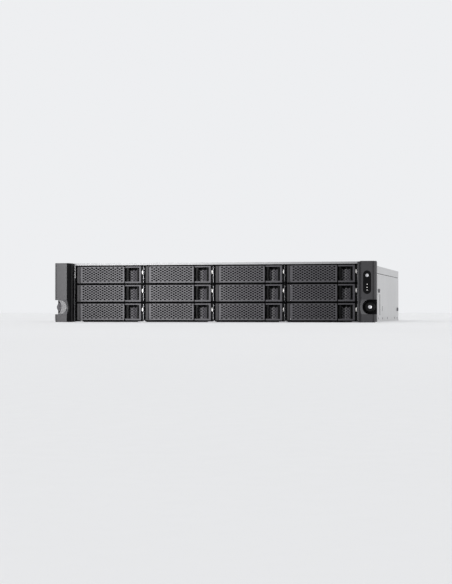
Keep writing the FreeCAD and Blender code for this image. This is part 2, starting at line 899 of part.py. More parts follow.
def socket_shell(block):
    """A metal shell that fills its window in the rear wall, just proud of it."""
    left, width, height, depth = block
    return box(left + "+socket_margin", "chassis_rear-%s+socket_proud" % depth, "socket_low+socket_margin",
               width + "-2*socket_margin", depth, height + "-2*socket_margin")


def socket_block(block, sockets):
    depth = block[-1]
    tools = [box(x, "chassis_rear-%s+socket_back" % depth, z, width, depth, height)
             for x, z, width, height in sockets]
    return cut(socket_shell(block), tools)


def rear_ports():
    """Network jacks, module cages, a service jack and a display connector."""
    flange = box("32", "chassis_rear", "7.5", "30", "0.8", "11.4")
    posts = [cylinder("y", x, "chassis_rear+0.8", "13.2", "2.4", "4.2") for x in ("35", "59")]
    return group([
        socket_block(NETWORK_BLOCK, NETWORK_JACKS),
        socket_block(MODULE_BLOCK, MODULE_PORTS),
        socket_block(SERVICE_BLOCK, SERVICE_JACK),
        fuse([socket_shell(DISPLAY_BLOCK), flange,
              box("38.6", "chassis_rear+0.7", "9.2", "16.8", "5", "8")] + posts),
    ])


def slot_covers():
    """Four expansion-slot blanks inside the rear wall, each with a screw tab."""
    inner = "chassis_rear-wall"
    covers = []
    for index in range(SLOT_COUNT):
        left = "slot_left+%d*slot_pitch" % index
        covers.append(fuse([
            box(left, inner + "-skin", "cover_low", "cover_width", "skin", "cover_height"),
            box(left, inner + "-cover_tab", "cover_low+cover_height-0.8", "cover_width", "cover_tab", "skin"),
        ]))
    return group(covers)


STANDOFFS = [(x, y) for x in (-120, 40, 200) for y in (275, 380, 490)]


def side_heads(places, surface, radius, length):
    """Round heads that lie on both sides, the same distance from the middle."""
    heads = []
    for side in SIDES:
        start = surface if side > 0 else "-(%s)-%s" % (surface, length)
        for depth, height in places:
            heads.append(cylinder("x", start, depth, height, radius, length))
    return heads


def fasteners():
    """Rail studs, wall, bracket and lid screws, and the board's standoffs."""
    side_wall = "chassis_width/2"
    pieces = side_heads(RAIL_STUDS, side_wall, "3.2", "2.5")
    pieces += side_heads(WALL_SCREWS, side_wall, "1.8", "0.6")
    pieces += side_heads(BRACKET_SCREWS, side_wall + "+flange", "2.6", "1")
    for x, y in STANDOFFS:
        pieces.append(cylinder("z", x, y, "skin", "stud_radius", "board_level-skin"))
    for x, y in LID_SCREWS:
        pieces.append(cylinder("z", x, y, "unit_height-skin-0.6", "stud_radius", "skin+0.6"))
    return group(pieces)


# ------------------------------------------------------------------ assembly

subpart(group([tub(), rear_wall()]), "chassis_base")
subpart(front_top_cover(), "front_top_cover")
subpart(top_cover("lid_split+lid_gap", "chassis_rear"), "rear_top_cover")
subpart(drive_cage(), "drive_cage")
build_bays()

subpart(cut(ear_block(-1), notch_tools(-1)), "left_ear_cover")
subpart(right_ear(), "right_ear_cover")
subpart(rack_brackets(), "rack_brackets")
subpart(control_panel(), "control_panel")
subpart(power_button(), "power_button", "panel_centre", "0", "button_height")
subpart(thumbscrew(), "left_thumbscrew", "-hole_spacing/2", "0", "screw_height")
subpart(thumbscrew(), "right_thumbscrew", "hole_spacing/2", "0", "screw_height")

subpart(fan_frames(fan_frame()), "fan_frames")
rotor = fan_rotor()
for number, step in enumerate(FAN_PLACES, 1):
    repeat(rotor, "fan_rotor_%d" % number, "%d*fan_pitch" % step, "0", "fan_level")

subpart(backplane_board(), "backplane_board")
subpart(main_board(), "main_board")
supply = psu_module()
supply_latch = psu_latch()
for number in (1, 2):
    level = "psu_level+psu_pitch*%d" % (2 - number)
    repeat(supply, "psu_module_%d" % number, "0", "0", level)
    repeat(supply_latch, "psu_latch_%d" % number, "0", "0", level)
subpart(rear_ports(), "rear_ports")
subpart(slot_covers(), "slot_covers")
subpart(fasteners(), "fasteners")

# --------------------------------------------------------- checks and export

doc.recompute()
for item in doc.Objects:
    if "Invalid" in item.State or "Error" in item.State:
        raise RuntimeError("%s (%s) failed: %s" % (item.Name, item.Label, item.State))
for item in subparts:
    shape = item.Shape
    if shape.isNull() or not shape.isValid() or not shape.Solids:
        raise RuntimeError("%s has no valid solid" % item.Label)

os.makedirs("parts", exist_ok=True)
for item in subparts:
    item.Shape.exportStep("parts/%s.step" % item.Label)
whole = Part.makeCompound([item.Shape for item in subparts])
print(len(subparts), "sub-parts, size", whole.BoundBox)
for item in subparts:
    if not item.Label[-1:].isdigit() or item.Label.endswith("_1"):
        shape = item.Shape
        print("%-18s solids %2d faces %4d volume %.1f" % (
            item.Label, len(shape.Solids), len(shape.Faces), shape.Volume / 1000))
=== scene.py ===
"""Looks of a two-unit rack storage server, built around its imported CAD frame."""

import math

import bmesh
import bpy
from mathutils import Matrix, Vector


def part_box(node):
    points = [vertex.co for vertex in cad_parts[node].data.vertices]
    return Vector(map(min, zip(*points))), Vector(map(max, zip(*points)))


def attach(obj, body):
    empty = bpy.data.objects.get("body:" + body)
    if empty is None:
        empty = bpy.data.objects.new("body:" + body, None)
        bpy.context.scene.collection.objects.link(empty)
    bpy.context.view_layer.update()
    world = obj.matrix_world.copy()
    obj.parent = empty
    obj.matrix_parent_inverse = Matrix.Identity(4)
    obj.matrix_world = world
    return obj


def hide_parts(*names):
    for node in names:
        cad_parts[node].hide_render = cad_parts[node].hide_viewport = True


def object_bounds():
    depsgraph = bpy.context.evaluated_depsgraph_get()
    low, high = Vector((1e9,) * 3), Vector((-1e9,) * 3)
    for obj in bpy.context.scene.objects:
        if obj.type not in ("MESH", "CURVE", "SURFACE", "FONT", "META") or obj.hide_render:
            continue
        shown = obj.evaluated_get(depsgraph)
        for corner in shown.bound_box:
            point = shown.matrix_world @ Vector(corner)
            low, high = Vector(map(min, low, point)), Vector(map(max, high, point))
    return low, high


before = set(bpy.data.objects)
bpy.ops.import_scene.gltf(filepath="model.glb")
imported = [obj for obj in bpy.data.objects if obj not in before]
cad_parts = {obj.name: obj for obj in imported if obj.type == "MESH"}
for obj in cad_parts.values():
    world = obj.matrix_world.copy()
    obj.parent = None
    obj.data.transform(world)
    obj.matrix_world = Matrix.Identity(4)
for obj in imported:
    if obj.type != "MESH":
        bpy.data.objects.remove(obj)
cad_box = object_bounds()

# Lengths below are in millimetres: X from the middle, Z from the underside and
# Y from the front of the ears, which is the lowest Y of the frame.
MM = 0.001
FRONT = cad_box[0].y / MM
BAYS = range(1, 13)
NEAR = 0.0005          # points closer than this are one point
WALL_HALF = 217.0      # outside of the side walls
WALL_Y = 535.0         # outside of the rear wall


def local_box(node):
    """A node's lowest and highest corners, in millimetres from the ear front."""
    low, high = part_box(node)
    shift = Vector((0, FRONT, 0))
    return low / MM - shift, high / MM - shift


def axis_of(node):
    """The middle of a node in the front view, level with the ears' front."""
    low, high = local_box(node)
    return Vector(((low.x + high.x) / 2, 0, (low.z + high.z) / 2))


def turns(count):
    """The angles of a circle's even steps."""
    return [2 * math.pi * index / count for index in range(count)]


def around(angle, radius, height=None):
    """A point on a circle or ellipse about the Y axis."""
    return Vector((radius * math.cos(angle), 0, (height or radius) * math.sin(angle)))


def flat(points):
    """The front-view coordinates of some points."""
    return [(point.x, point.z) for point in points]


# ------------------------------------------------------------------ materials


def shader_of(name):
    material = bpy.data.materials.new(name)
    material.use_nodes = True
    return material, material.node_tree.nodes, material.node_tree.links


def noise(nodes, links, scale, detail, stretch=(1, 1, 1)):
    """Noise in the piece's own coordinates; scale is in features per metre."""
    place = nodes.new("ShaderNodeTexCoord")
    mapping = nodes.new("ShaderNodeMapping")
    mapping.inputs["Scale"].default_value = stretch
    texture = nodes.new("ShaderNodeTexNoise")
    texture.inputs["Scale"].default_value = scale
    texture.inputs["Detail"].default_value = detail
    texture.inputs["Roughness"].default_value = 0.55
    links.new(place.outputs["Object"], mapping.inputs["Vector"])
    links.new(mapping.outputs["Vector"], texture.inputs["Vector"])
    return texture.outputs["Fac"]


def spread(nodes, links, factor, low, high):
    """Turn a 0.35-0.65 noise factor into a number between low and high."""
    change = nodes.new("ShaderNodeMapRange")
    change.inputs["From Min"].default_value = 0.35
    change.inputs["From Max"].default_value = 0.65
    change.inputs["To Min"].default_value = low
    change.inputs["To Max"].default_value = high
    links.new(factor, change.inputs["Value"])
    return change.outputs["Result"]


def tint(nodes, links, factor, dark, light):
    ramp = nodes.new("ShaderNodeValToRGB")
    ramp.color_ramp.elements[0].position = 0.35
    ramp.color_ramp.elements[1].position = 0.65
    ramp.color_ramp.elements[0].color = (*dark, 1)
    ramp.color_ramp.elements[1].color = (*light, 1)
    links.new(factor, ramp.inputs["Fac"])
    return ramp.outputs["Color"]


def roughen(nodes, links, height, strength, depth):
    """Give the shader a fine bump from a height."""
    relief = nodes.new("ShaderNodeBump")
    relief.inputs["Strength"].default_value = strength
    relief.inputs["Distance"].default_value = depth
    links.new(height, relief.inputs["Height"])
    links.new(relief.outputs["Normal"], nodes["Principled BSDF"].inputs["Normal"])


def surface(name, colour, rough, metal=0.0, vary=0.06, patch=18.0, stretch=(1, 1, 1),
            grain=2500.0, bump=0.05, depth=0.00005, coat=0.0, specular=0.5):
    """A general surface: cloudy colour, uneven roughness and a fine bump."""
    material, nodes, links = shader_of(name)
    shader = nodes["Principled BSDF"]
    shader.inputs["Metallic"].default_value = metal
    shader.inputs["Specular IOR Level"].default_value = specular
    shader.inputs["Coat Weight"].default_value = coat
    shader.inputs["Coat Roughness"].default_value = 0.06
    cloud = noise(nodes, links, patch, 4.0, stretch)
    dark = [value * (1 - vary) for value in colour]
    light = [min(1.0, value * (1 + vary)) for value in colour]
    links.new(tint(nodes, links, cloud, dark, light), shader.inputs["Base Color"])
    fine = noise(nodes, links, grain, 2.0, stretch)
    uneven = spread(nodes, links, fine, rough * 0.85, min(1.0, rough * 1.15))
    links.new(uneven, shader.inputs["Roughness"])
    roughen(nodes, links, fine, bump, depth)
    return material


def glowing(name, colour, strength):
    """A faintly uneven lens that gives off its own colour."""
    material, nodes, links = shader_of(name)
    shader = nodes["Principled BSDF"]
    shader.inputs["Base Color"].default_value = (*colour, 1)
    shader.inputs["Roughness"].default_value = 0.25
    shader.inputs["Emission Color"].default_value = (*colour, 1)
    shader.inputs["Emission Strength"].default_value = strength
    roughen(nodes, links, noise(nodes, links, 900.0, 2.0), 0.1, 0.00005)
    return material


CHARCOAL = surface("charcoal_plastic", (0.052, 0.050, 0.056), 0.48, grain=3200, bump=0.14,
                   specular=0.25)
LEVER = surface("lever_plastic", (0.056, 0.054, 0.060), 0.44, grain=3600, bump=0.12, specular=0.25)
EAR = surface("ear_plastic", (0.044, 0.043, 0.046), 0.42, grain=3000, bump=0.12, coat=0.03,
              specular=0.25)
# paler plastic: a painted highlight on the ears' notch faces
SCOOP_HIGHLIGHT = surface("scoop_painted_highlight", (0.085, 0.084, 0.088), 0.30, grain=3000, bump=0.08, coat=0.1,
                specular=0.4)
GRILLE = surface("recess_plastic", (0.085, 0.082, 0.090), 0.44, grain=3200, bump=0.1, specular=0.3)
# dark plastic: the fan pads, and the tray's left strip darkened as painted shade
STRIP = surface("strip_plastic_and_painted_shade", (0.020, 0.019, 0.021), 0.5, grain=3200, bump=0.12, specular=0.2)
BLACK = surface("black_plastic", (0.006, 0.006, 0.0065), 0.55, grain=2600, bump=0.15, specular=0.12)
# near-black painted shade, for recesses, gaps, holes and vents
SHADOW = surface("painted_shade_black", (0.0025, 0.0025, 0.003), 0.8, grain=1500, bump=0.1, specular=0.04)
GLOSS = surface("gloss_black", (0.004, 0.004, 0.0045), 0.12, coat=0.02, grain=700, bump=0.01,
                vary=0.02, specular=0.06)
ZINC = surface("zinc_steel", (0.58, 0.578, 0.578), 0.42, metal=0.75, vary=0.035, patch=14,
               grain=900, bump=0.03, depth=0.00003)
BRIGHT = surface("bright_steel", (0.70, 0.70, 0.71), 0.34, metal=0.9, vary=0.03, patch=30,
                 stretch=(0.04, 1, 1), grain=1200, bump=0.01, depth=0.00002)
LIP = surface("lip_steel", (0.27, 0.27, 0.275), 0.5, metal=0.2, vary=0.015, patch=8,
              grain=900, bump=0.01, depth=0.00002, specular=0.3)
# dark steel for the brackets, and painted shade on edges, flanges, the cage and seams
DARK_STEEL_AND_SHADE = surface("dark_steel", (0.009, 0.009, 0.010), 0.5, metal=0.2, grain=2200, bump=0.08,
                     specular=0.12)
SCREW = surface("screw_steel", (0.55, 0.55, 0.56), 0.33, metal=1.0, grain=2600, bump=0.05)
STUD = surface("stud_steel", (0.24, 0.24, 0.25), 0.42, metal=1.0, grain=2600, bump=0.06)
CAST = surface("cast_aluminium", (0.52, 0.52, 0.53), 0.48, metal=0.9, patch=60, grain=1500, bump=0.2)
BOARD = surface("board_green", (0.012, 0.085, 0.038), 0.38, patch=200, vary=0.2, grain=1200, bump=0.1)
COPPER = surface("contact_gold", (0.75, 0.55, 0.22), 0.3, metal=1.0, grain=2200, bump=0.05)
SATIN = surface("button_metal", (0.50, 0.50, 0.51), 0.30, metal=1.0, grain=3200, bump=0.03)
ORANGE = surface("latch_orange", (0.70, 0.16, 0.02), 0.45, grain=2600, bump=0.1)
LABEL = surface("blank_label", (0.78, 0.78, 0.76), 0.55, vary=0.02, grain=2400, bump=0.04)
LAMP = glowing("lamp_white", (1.0, 0.98, 0.95), 0.7)
DIM_LAMP = glowing("lamp_dim", (0.10, 0.10, 0.12), 0.02)
GREEN_LAMP = glowing("lamp_green", (0.10, 0.75, 0.20), 0.8)
AMBER_LAMP = glowing("lamp_amber", (0.80, 0.36, 0.04), 0.3)


# ----------------------------------------------------------------- mesh tools


SMOOTH = 32            # degrees: sharper edges shade as corners


class Piece:
    """Collects closed solids, in millimetres, into one mesh with material slots."""

    def __init__(self, name, *materials):
        self.name = name
        self.materials = materials
        self.mesh = bmesh.new()
        self.paint = 0

    def _closed(self, faces):
        """Turn a new solid's faces outwards and paint them."""
        bmesh.ops.recalc_face_normals(self.mesh, faces=faces)
        for face in faces:
            face.material_index = self.paint
        return faces

    def _skin(self, here, there):
        """Four-sided faces between two equal closed rings of corners."""
        after = here[1:] + here[:1], there[1:] + there[:1]
        return [self.mesh.faces.new(corners) for corners in zip(here, *after, there)]

    def _tube(self, *rings):
        """A solid between two equal rings of points."""
        rings = [[self.mesh.verts.new(point) for point in ring] for ring in rings]
        return self._closed([self.mesh.faces.new(ring) for ring in rings] + self._skin(*rings))

    def prism(self, outline, axis, start, end):
        """Extrude a closed outline along an axis; the outline's pair of coordinates
        are the two other axes in X, Y, Z order."""
        order = {"x": (2, 0, 1), "y": (0, 2, 1), "z": (0, 1, 2)}[axis]

        def at(u, v, w):
            values = (u, v, w)
            return Vector([values[index] for index in order])

        return self._tube(*[[at(u, v, w) for u, v in outline] for w in (start, end)])

    def box(self, low, high):
        outline = [(low[0], low[1]), (high[0], low[1]), (high[0], high[1]), (low[0], high[1])]
        return self.prism(outline, "z", low[2], high[2])

    def lathe(self, profile, axis, centre, steps=32, way=1):
        """Turn a profile of (radius, distance) about an axis, along it or back along it."""
        along, side, up = {
            "x": (Vector((1, 0, 0)), Vector((0, 1, 0)), Vector((0, 0, 1))),
            "y": (Vector((0, 1, 0)), Vector((1, 0, 0)), Vector((0, 0, 1))),
            "z": (Vector((0, 0, 1)), Vector((1, 0, 0)), Vector((0, 1, 0))),
        }[axis]
        spokes = [side * math.cos(angle) + up * math.sin(angle) for angle in turns(steps)]
        rings = []
        for radius, distance in profile:
            middle = Vector(centre) + along * (distance * way)
            used = spokes if radius > 0 else spokes[:1]
            rings.append([self.mesh.verts.new(middle + spoke * radius) for spoke in used])
        faces = []
        for here, there in zip(rings, rings[1:]):
            for step in range(steps):
                after = (step + 1) % steps
                corners = (here[step % len(here)], here[after % len(here)],
                           there[after % len(there)], there[step % len(there)])
                corners = list(dict.fromkeys(corners))
                if len(corners) > 2:
                    faces.append(self.mesh.faces.new(corners))
        for ring in (rings[0], rings[-1]):
            if len(ring) > 1:
                faces.append(self.mesh.faces.new(ring))
        return self._closed(faces)

    def bar(self, start, end, radius, steps=8):
        """A round bar between two points."""
        heading = (end - start).normalized()
        side = heading.orthogonal().normalized()
        up = heading.cross(side)
        spokes = [(side * math.cos(angle) + up * math.sin(angle)) * radius for angle in turns(steps)]
        return self._tube(*[[point + spoke for spoke in spokes] for point in (start, end)])

    def hoop(self, centre, radius, wire, steps=40, sides=8):
        """A closed ring of round wire about an axis along Y."""
        rings = []
        for angle in turns(steps):
            ring = []
            for turn in turns(sides):
                point = centre + around(angle, radius + wire * math.cos(turn))
                ring.append(self.mesh.verts.new(point + Vector((0, wire * math.sin(turn), 0))))
            rings.append(ring)
        faces = []
        for here, there in zip(rings, rings[1:] + rings[:1]):
            faces += self._skin(here, there)
        return self._closed(faces)

    def perforated(self, width, height, thick, pitch, hole, margins):
        """A flat plate in X and Z from the origin, with a hexagonal field of holes.

        hole is a width and a height; margins are the clear widths at the left, right,
        bottom and top."""
        sheet = bmesh.new()
        corner = pitch / math.sqrt(3)
        step_x = 1.5 * corner
        left, right, bottom, top = margins
        half_x, half_z = hole[0] / 2, hole[1] / 2
        columns = int((width - left - right - hole[0]) / step_x) + 1
        rows = int((height - bottom - top - hole[1]) / pitch) + 1
        first_x = left + (width - left - right - (columns - 1) * step_x) / 2
        first_z = bottom + (height - bottom - top - (rows - 1) * pitch) / 2
        angles = turns(12)
        for column in range(-3, columns + 3):
            for row in range(-3, rows + 3):
                x = first_x + column * step_x
                z = first_z + row * pitch - (pitch / 2 if column % 2 else 0)
                centre = Vector((x, 0, z))
                rim = []
                for angle in angles:
                    sector = (angle % (math.pi / 3)) - math.pi / 6
                    reach = corner * math.cos(math.pi / 6) / math.cos(sector)
                    rim.append(sheet.verts.new(centre + around(angle, reach)))
                inside = left + half_x <= x <= width - right - half_x
                inside = inside and bottom + half_z <= z + 0.01 and z - 0.01 <= height - top - half_z
                if not inside:
                    sheet.faces.new(rim)
                    continue
                ring = [sheet.verts.new(centre + around(angle, half_x, half_z)) for angle in angles]
                for corners in zip(rim, rim[1:] + rim[:1], ring[1:] + ring[:1], ring):
                    sheet.faces.new(corners)
        bmesh.ops.remove_doubles(sheet, verts=sheet.verts, dist=2 * NEAR)
        near, far = (0, 0, 0), (width, 0, height)
        for point, normal in ((near, (-1, 0, 0)), (far, (1, 0, 0)), (near, (0, 0, -1)), (far, (0, 0, 1))):
            everything = sheet.verts[:] + sheet.edges[:] + sheet.faces[:]
            bmesh.ops.bisect_plane(sheet, geom=everything, plane_co=point, plane_no=normal,
                                   clear_outer=True, dist=NEAR)
        bmesh.ops.dissolve_degenerate(sheet, dist=NEAR, edges=sheet.edges)
        made = bmesh.ops.extrude_face_region(sheet, geom=sheet.faces[:])
        moved = [item for item in made["geom"] if isinstance(item, bmesh.types.BMVert)]
        bmesh.ops.translate(sheet, verts=moved, vec=(0, thick, 0))
        bmesh.ops.recalc_face_normals(sheet, faces=sheet.faces)
        return sheet

    def absorb(self, other, change=None):
        """Take in another mesh, moved point by point if a change is given."""
        copies = {}
        for vert in other.verts:
            point = change(vert.co) if change else vert.co
            copies[vert] = self.mesh.verts.new(point)
        faces = [self.mesh.faces.new([copies[vert] for vert in face.verts]) for face in other.faces]
        other.free()
        return self._closed(faces)

    def from_cad(self, node, keep=lambda box: True):
        """Take in a CAD node's solids whose box passes a test, as clean large faces."""
        source = bmesh.new()
        source.from_mesh(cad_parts[node].data)
        bmesh.ops.remove_doubles(source, verts=source.verts, dist=1e-6)
        shift = Vector((0, FRONT, 0))
        for vert in source.verts:
            vert.co = vert.co / MM - shift
        todo = set(source.verts)
        drop = []
        while todo:
            island = [todo.pop()]
            for vert in island:
                for edge in vert.link_edges:
                    far = edge.other_vert(vert)
                    if far in todo:
                        todo.discard(far)
                        island.append(far)
            low = Vector([min(vert.co[axis] for vert in island) for axis in range(3)])
            high = Vector([max(vert.co[axis] for vert in island) for axis in range(3)])
            if not keep((low, high)):
                drop += island
        bmesh.ops.delete(source, geom=drop, context="VERTS")
        bmesh.ops.dissolve_limit(source, angle_limit=math.radians(0.8),
                                 verts=source.verts, edges=source.edges)
        return self.absorb(source)

    def carve(self, tool):
        """Cut another piece's solids out of this one, and keep each face's paint."""
        things = []
        for piece in (self, tool):
            data = bpy.data.meshes.new("carving")
            piece.mesh.to_mesh(data)
            for material in piece.materials:
                data.materials.append(material)
            things.append(bpy.data.objects.new("carving", data))
            bpy.context.scene.collection.objects.link(things[-1])
        cut = things[0].modifiers.new("cut", "BOOLEAN")
        cut.operation = "DIFFERENCE"
        cut.solver = "EXACT"
        cut.object = things[1]
        ready = things[0].evaluated_get(bpy.context.evaluated_depsgraph_get())
        self.mesh.clear()
        self.mesh.from_mesh(bpy.data.meshes.new_from_object(ready))
        tool.mesh.free()
        for thing in things:
            bpy.data.objects.remove(thing)

    def split_at(self, point, normal):
        """Add an edge wherever a plane crosses the faces."""
        everything = self.mesh.verts[:] + self.mesh.edges[:] + self.mesh.faces[:]
        bmesh.ops.bisect_plane(self.mesh, geom=everything, plane_co=point, plane_no=normal, dist=NEAR)

    def paint_where(self, index, test):
        """Repaint faces whose middle and normal pass a test."""
        self.mesh.normal_update()
        for face in self.mesh.faces:
            if test(face.calc_center_median(), face.normal):
                face.material_index = index

    def done(self, body, *nodes, slot=None, bevel=0.2, segments=2):
        """Make the object, soften its edges and let it ride on its body."""
        data = bpy.data.meshes.new(self.name)
        self.mesh.transform(Matrix.Translation((0, FRONT * MM, 0)) @ Matrix.Scale(MM, 4))
        self.mesh.to_mesh(data)
        self.mesh.free()
        for material in self.materials:
            data.materials.append(material)
        data.shade_smooth()
        data.set_sharp_from_angle(angle=math.radians(SMOOTH))
        return stand(self.name, data, body, nodes, bevel, segments=segments)


def stand(name, data, body, nodes, bevel, place=(0, 0, 0), segments=2):
    """An object of a mesh, put in place to ride on its body, with its CAD nodes hidden."""
    thing = bpy.data.objects.new(name, data)
    bpy.context.scene.collection.objects.link(thing)
    thing.location = Vector(place) * MM
    if bevel:
        softened = thing.modifiers.new("softened", "BEVEL")
        softened.width = bevel * MM
        softened.segments = segments
        softened.limit_method = "ANGLE"
        softened.angle_limit = math.radians(40)
        softened.harden_normals = True
        softened.use_clamp_overlap = True
    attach(thing, body)
    if nodes:
        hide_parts(*nodes)
    return thing


def rounded(low, high, radius, steps=5):
    """A rectangle's outline with round corners, from the lower left, turning left."""
    points = []
    for x, y, start in ((low[0] + radius, low[1] + radius, 180), (high[0] - radius, low[1] + radius, 270),
                        (high[0] - radius, high[1] - radius, 0), (low[0] + radius, high[1] - radius, 90)):
        for step in range(steps + 1):
            angle = math.radians(start + 90 * step / steps)
            points.append((x + radius * math.cos(angle), y + radius * math.sin(angle)))
    return points


# --------------------------------------------------------------- drive trays

TRAY_WIDTH = 105.0
FACE_HALF = 12.45
FACE_Y = 20.0
LEVER_LEFT, LEVER_RIGHT = 8.9, 75.0
PIVOT_X, PIVOT_R = 7.0, 1.5
RECESS_X, RECESS_END, BEND_X, BEND_R = 76.6, 97.9, 82.0, 12.5
STRIP_RIGHT, FRAME_RIGHT, LAMP_X = 5.6, 101.0, 102.5
FLOOR_Z, CEILING_Z = -FACE_HALF + 2.3, FACE_HALF - 1.9


def bay_centre(number):
    """The middle of a bay's tray, which all of its pieces share."""
    return axis_of("drive_tray_%d" % number)


HOME = bay_centre(1)
LEFT = HOME.x - TRAY_WIDTH / 2


def tray_x(distance):
    return LEFT + distance


def is_carrier(box):
    return box[1].y - box[0].y > 150 and box[0].y < 30


def tray_carrier():
    """Charcoal strip and finger frame on a black base, with bright screws in the rails; the strip is
    painted darker and the finger recess's inside left black, as painted shade.
    """
    piece = Piece("tray_carrier", BLACK, CHARCOAL, SCREW, STRIP)
    piece.from_cad("drive_tray_1", is_carrier)

    def on_front(middle, normal):
        across = middle.x - LEFT
        # painted shade: the finger recess's inside is left out and stays black
        in_recess = RECESS_X - 0.1 < across < RECESS_END + 0.1 and middle.y > FACE_Y + 0.05
        outer = across < STRIP_RIGHT or RECESS_X - 0.1 < across < FRAME_RIGHT + 0.3
        return middle.y < FACE_Y + 3.15 and outer and not in_recess

    piece.paint_where(1, on_front)
    # painted shade: the left strip is painted darker still
    piece.paint_where(3, lambda middle, normal: on_front(middle, normal) and middle.x - LEFT < 9)
    piece.paint = 2
    screw = [(0, 0), (0.5, 0), (0.5, 0.5), (1.45, 0.4), (1.45, 1.2)]
    for x, way in ((tray_x(0.25), 1), (tray_x(TRAY_WIDTH - 0.25), -1)):
        for y in (70, 165):
            piece.lathe(screw, "x", (x, y, HOME.z - 2), 20, way)
    return piece


def recess_grille():
    """The perforated back of the finger recess, flat and then bent forwards to its lip; its top band and
    right end are painted near-black as shade.
    """
    piece = Piece("recess_grille", GRILLE, SHADOW)
    radius = BEND_R - 0.45
    straight = BEND_X - RECESS_X - 0.15
    turn = math.radians(74)
    low = HOME.z + FLOOR_Z + 0.15
    height = CEILING_Z - FLOOR_Z - 0.3
    margins = (0.5, 0.6, 0.6, 0.6)
    sheet = piece.perforated(straight + radius * turn, height, 0.35, 4.0, (3.1, 2.3), margins)

    def bend(point):
        angle = max(0.0, point.x - straight) / radius
        reach = radius - 0.15 + point.y
        x = tray_x(BEND_X + min(0.0, point.x - straight)) + reach * math.sin(angle)
        return Vector((x, FACE_Y + reach * math.cos(angle), low + point.z))

    piece.absorb(sheet, bend)
    # painted shade: the sheet's top band and right end are painted near-black
    shaded_top = HOME.z + CEILING_Z - 3.8
    end = tray_x(RECESS_END - 3.4)
    piece.split_at((0, 0, shaded_top), (0, 0, 1))
    piece.split_at((end, 0, 0), (1, 0, 0))
    piece.paint_where(1, lambda middle, normal: middle.z > shaded_top or middle.x > end)
    return piece


def spring_strip():
    """A wavy contact spring that runs down the right edge of the tray's front."""
    piece = Piece("spring_strip", STUD)
    steps = 26
    edges = []
    for across in (104.4, 104.75):
        edge = []
        for step in range(steps + 1):
            share = step / steps
            sway = 0.14 * math.sin(5 * math.pi * share)
            edge.append((tray_x(across) + sway, HOME.z - 11.6 + 23.2 * share))
        edges.append(edge)
    piece.prism(edges[0] + edges[1][::-1], "y", FACE_Y + 1.5, FACE_Y + 3.4)
    return piece


def tray_lamps():
    """The long status light pipe and the small activity lamp."""
    piece = Piece("tray_lamps", LAMP, DIM_LAMP)
    middle = Vector((tray_x(LAMP_X), 0, HOME.z + 3.5))
    pipe = flat(middle + around(angle, 0.7, 3.2) for angle in turns(28))
    piece.prism(pipe, "y", FACE_Y + 2.6, FACE_Y + 4.8)
    piece.paint = 1
    place = (tray_x(LAMP_X), FACE_Y, HOME.z + 8.9)
    piece.lathe([(0, 3.0), (0.55, 3.0), (0.75, 3.2), (0.75, 5.0)], "y", place, 18)
    return piece


def tray_lever():
    """The lever: a perforated plate in a shallow frame, hinged on its left edge, with a near-black sheet of
    painted shade behind its holes.
    """
    piece = Piece("tray_lever", LEVER, SCREW, SHADOW)
    half = 12.25
    left, right, first = tray_x(LEVER_LEFT), tray_x(LEVER_RIGHT), tray_x(PIVOT_X)
    sheet = piece.perforated(right - first, 2 * half, 0.8, 3.85, (3.3, 2.1), (0.8, 0.6, 1.5, 0.5))
    origin = Vector((first, FACE_Y, HOME.z - half))
    piece.absorb(sheet, lambda point: origin + point)
    front, back = FACE_Y + 0.75, FACE_Y + 3
    # painted shade: a near-black sheet behind the plate darkens the holes
    piece.paint = 2
    piece.box((first + 0.6, FACE_Y + 1.2, HOME.z - half + 1.2),
              (right - 1.2, FACE_Y + 2.2, HOME.z + half - 0.8))
    piece.paint = 0
    for low, high in (
        ((left - 0.4, FACE_Y + 2.1, -half), (left + 0.6, back, half)),
        ((right - 1.2, front, -half), (right, back, half)),
        ((first, front, half - 0.8), (right - 1.2, back, half)),
        ((first, front, -half), (right - 1.2, back, -half + 1.2)),
    ):
        piece.box((low[0], low[1], HOME.z + low[2]), (high[0], high[1], HOME.z + high[2]))
    pivot = (tray_x(PIVOT_X), FACE_Y + PIVOT_R, HOME.z)
    piece.lathe([(PIVOT_R, -11.0), (PIVOT_R, 11.0)], "z", pivot, 28)
    piece.box((pivot[0], FACE_Y + 2.0, HOME.z - 10.95), (left + 0.3, back - 0.02, HOME.z + 10.95))
    piece.box((right - 2.7, back - 0.1, HOME.z - 3), (right - 0.5, back + 3.9, HOME.z + 3))
    piece.paint = 1
    piece.lathe([(0.7, -12.2), (0.7, 12.2)], "z", pivot, 16)
    return piece


def lever_latch():
    """The sprung latch with its thumb ribs."""
    piece = Piece("lever_latch", BLACK)
    piece.from_cad("lever_latch_1")
    for index in range(4):
        z = HOME.z - 4.5 + 3 * index
        piece.box((tray_x(77.9), FACE_Y + 3.9, z - 0.4), (tray_x(79.3), FACE_Y + 4.5, z + 0.4))
    return piece


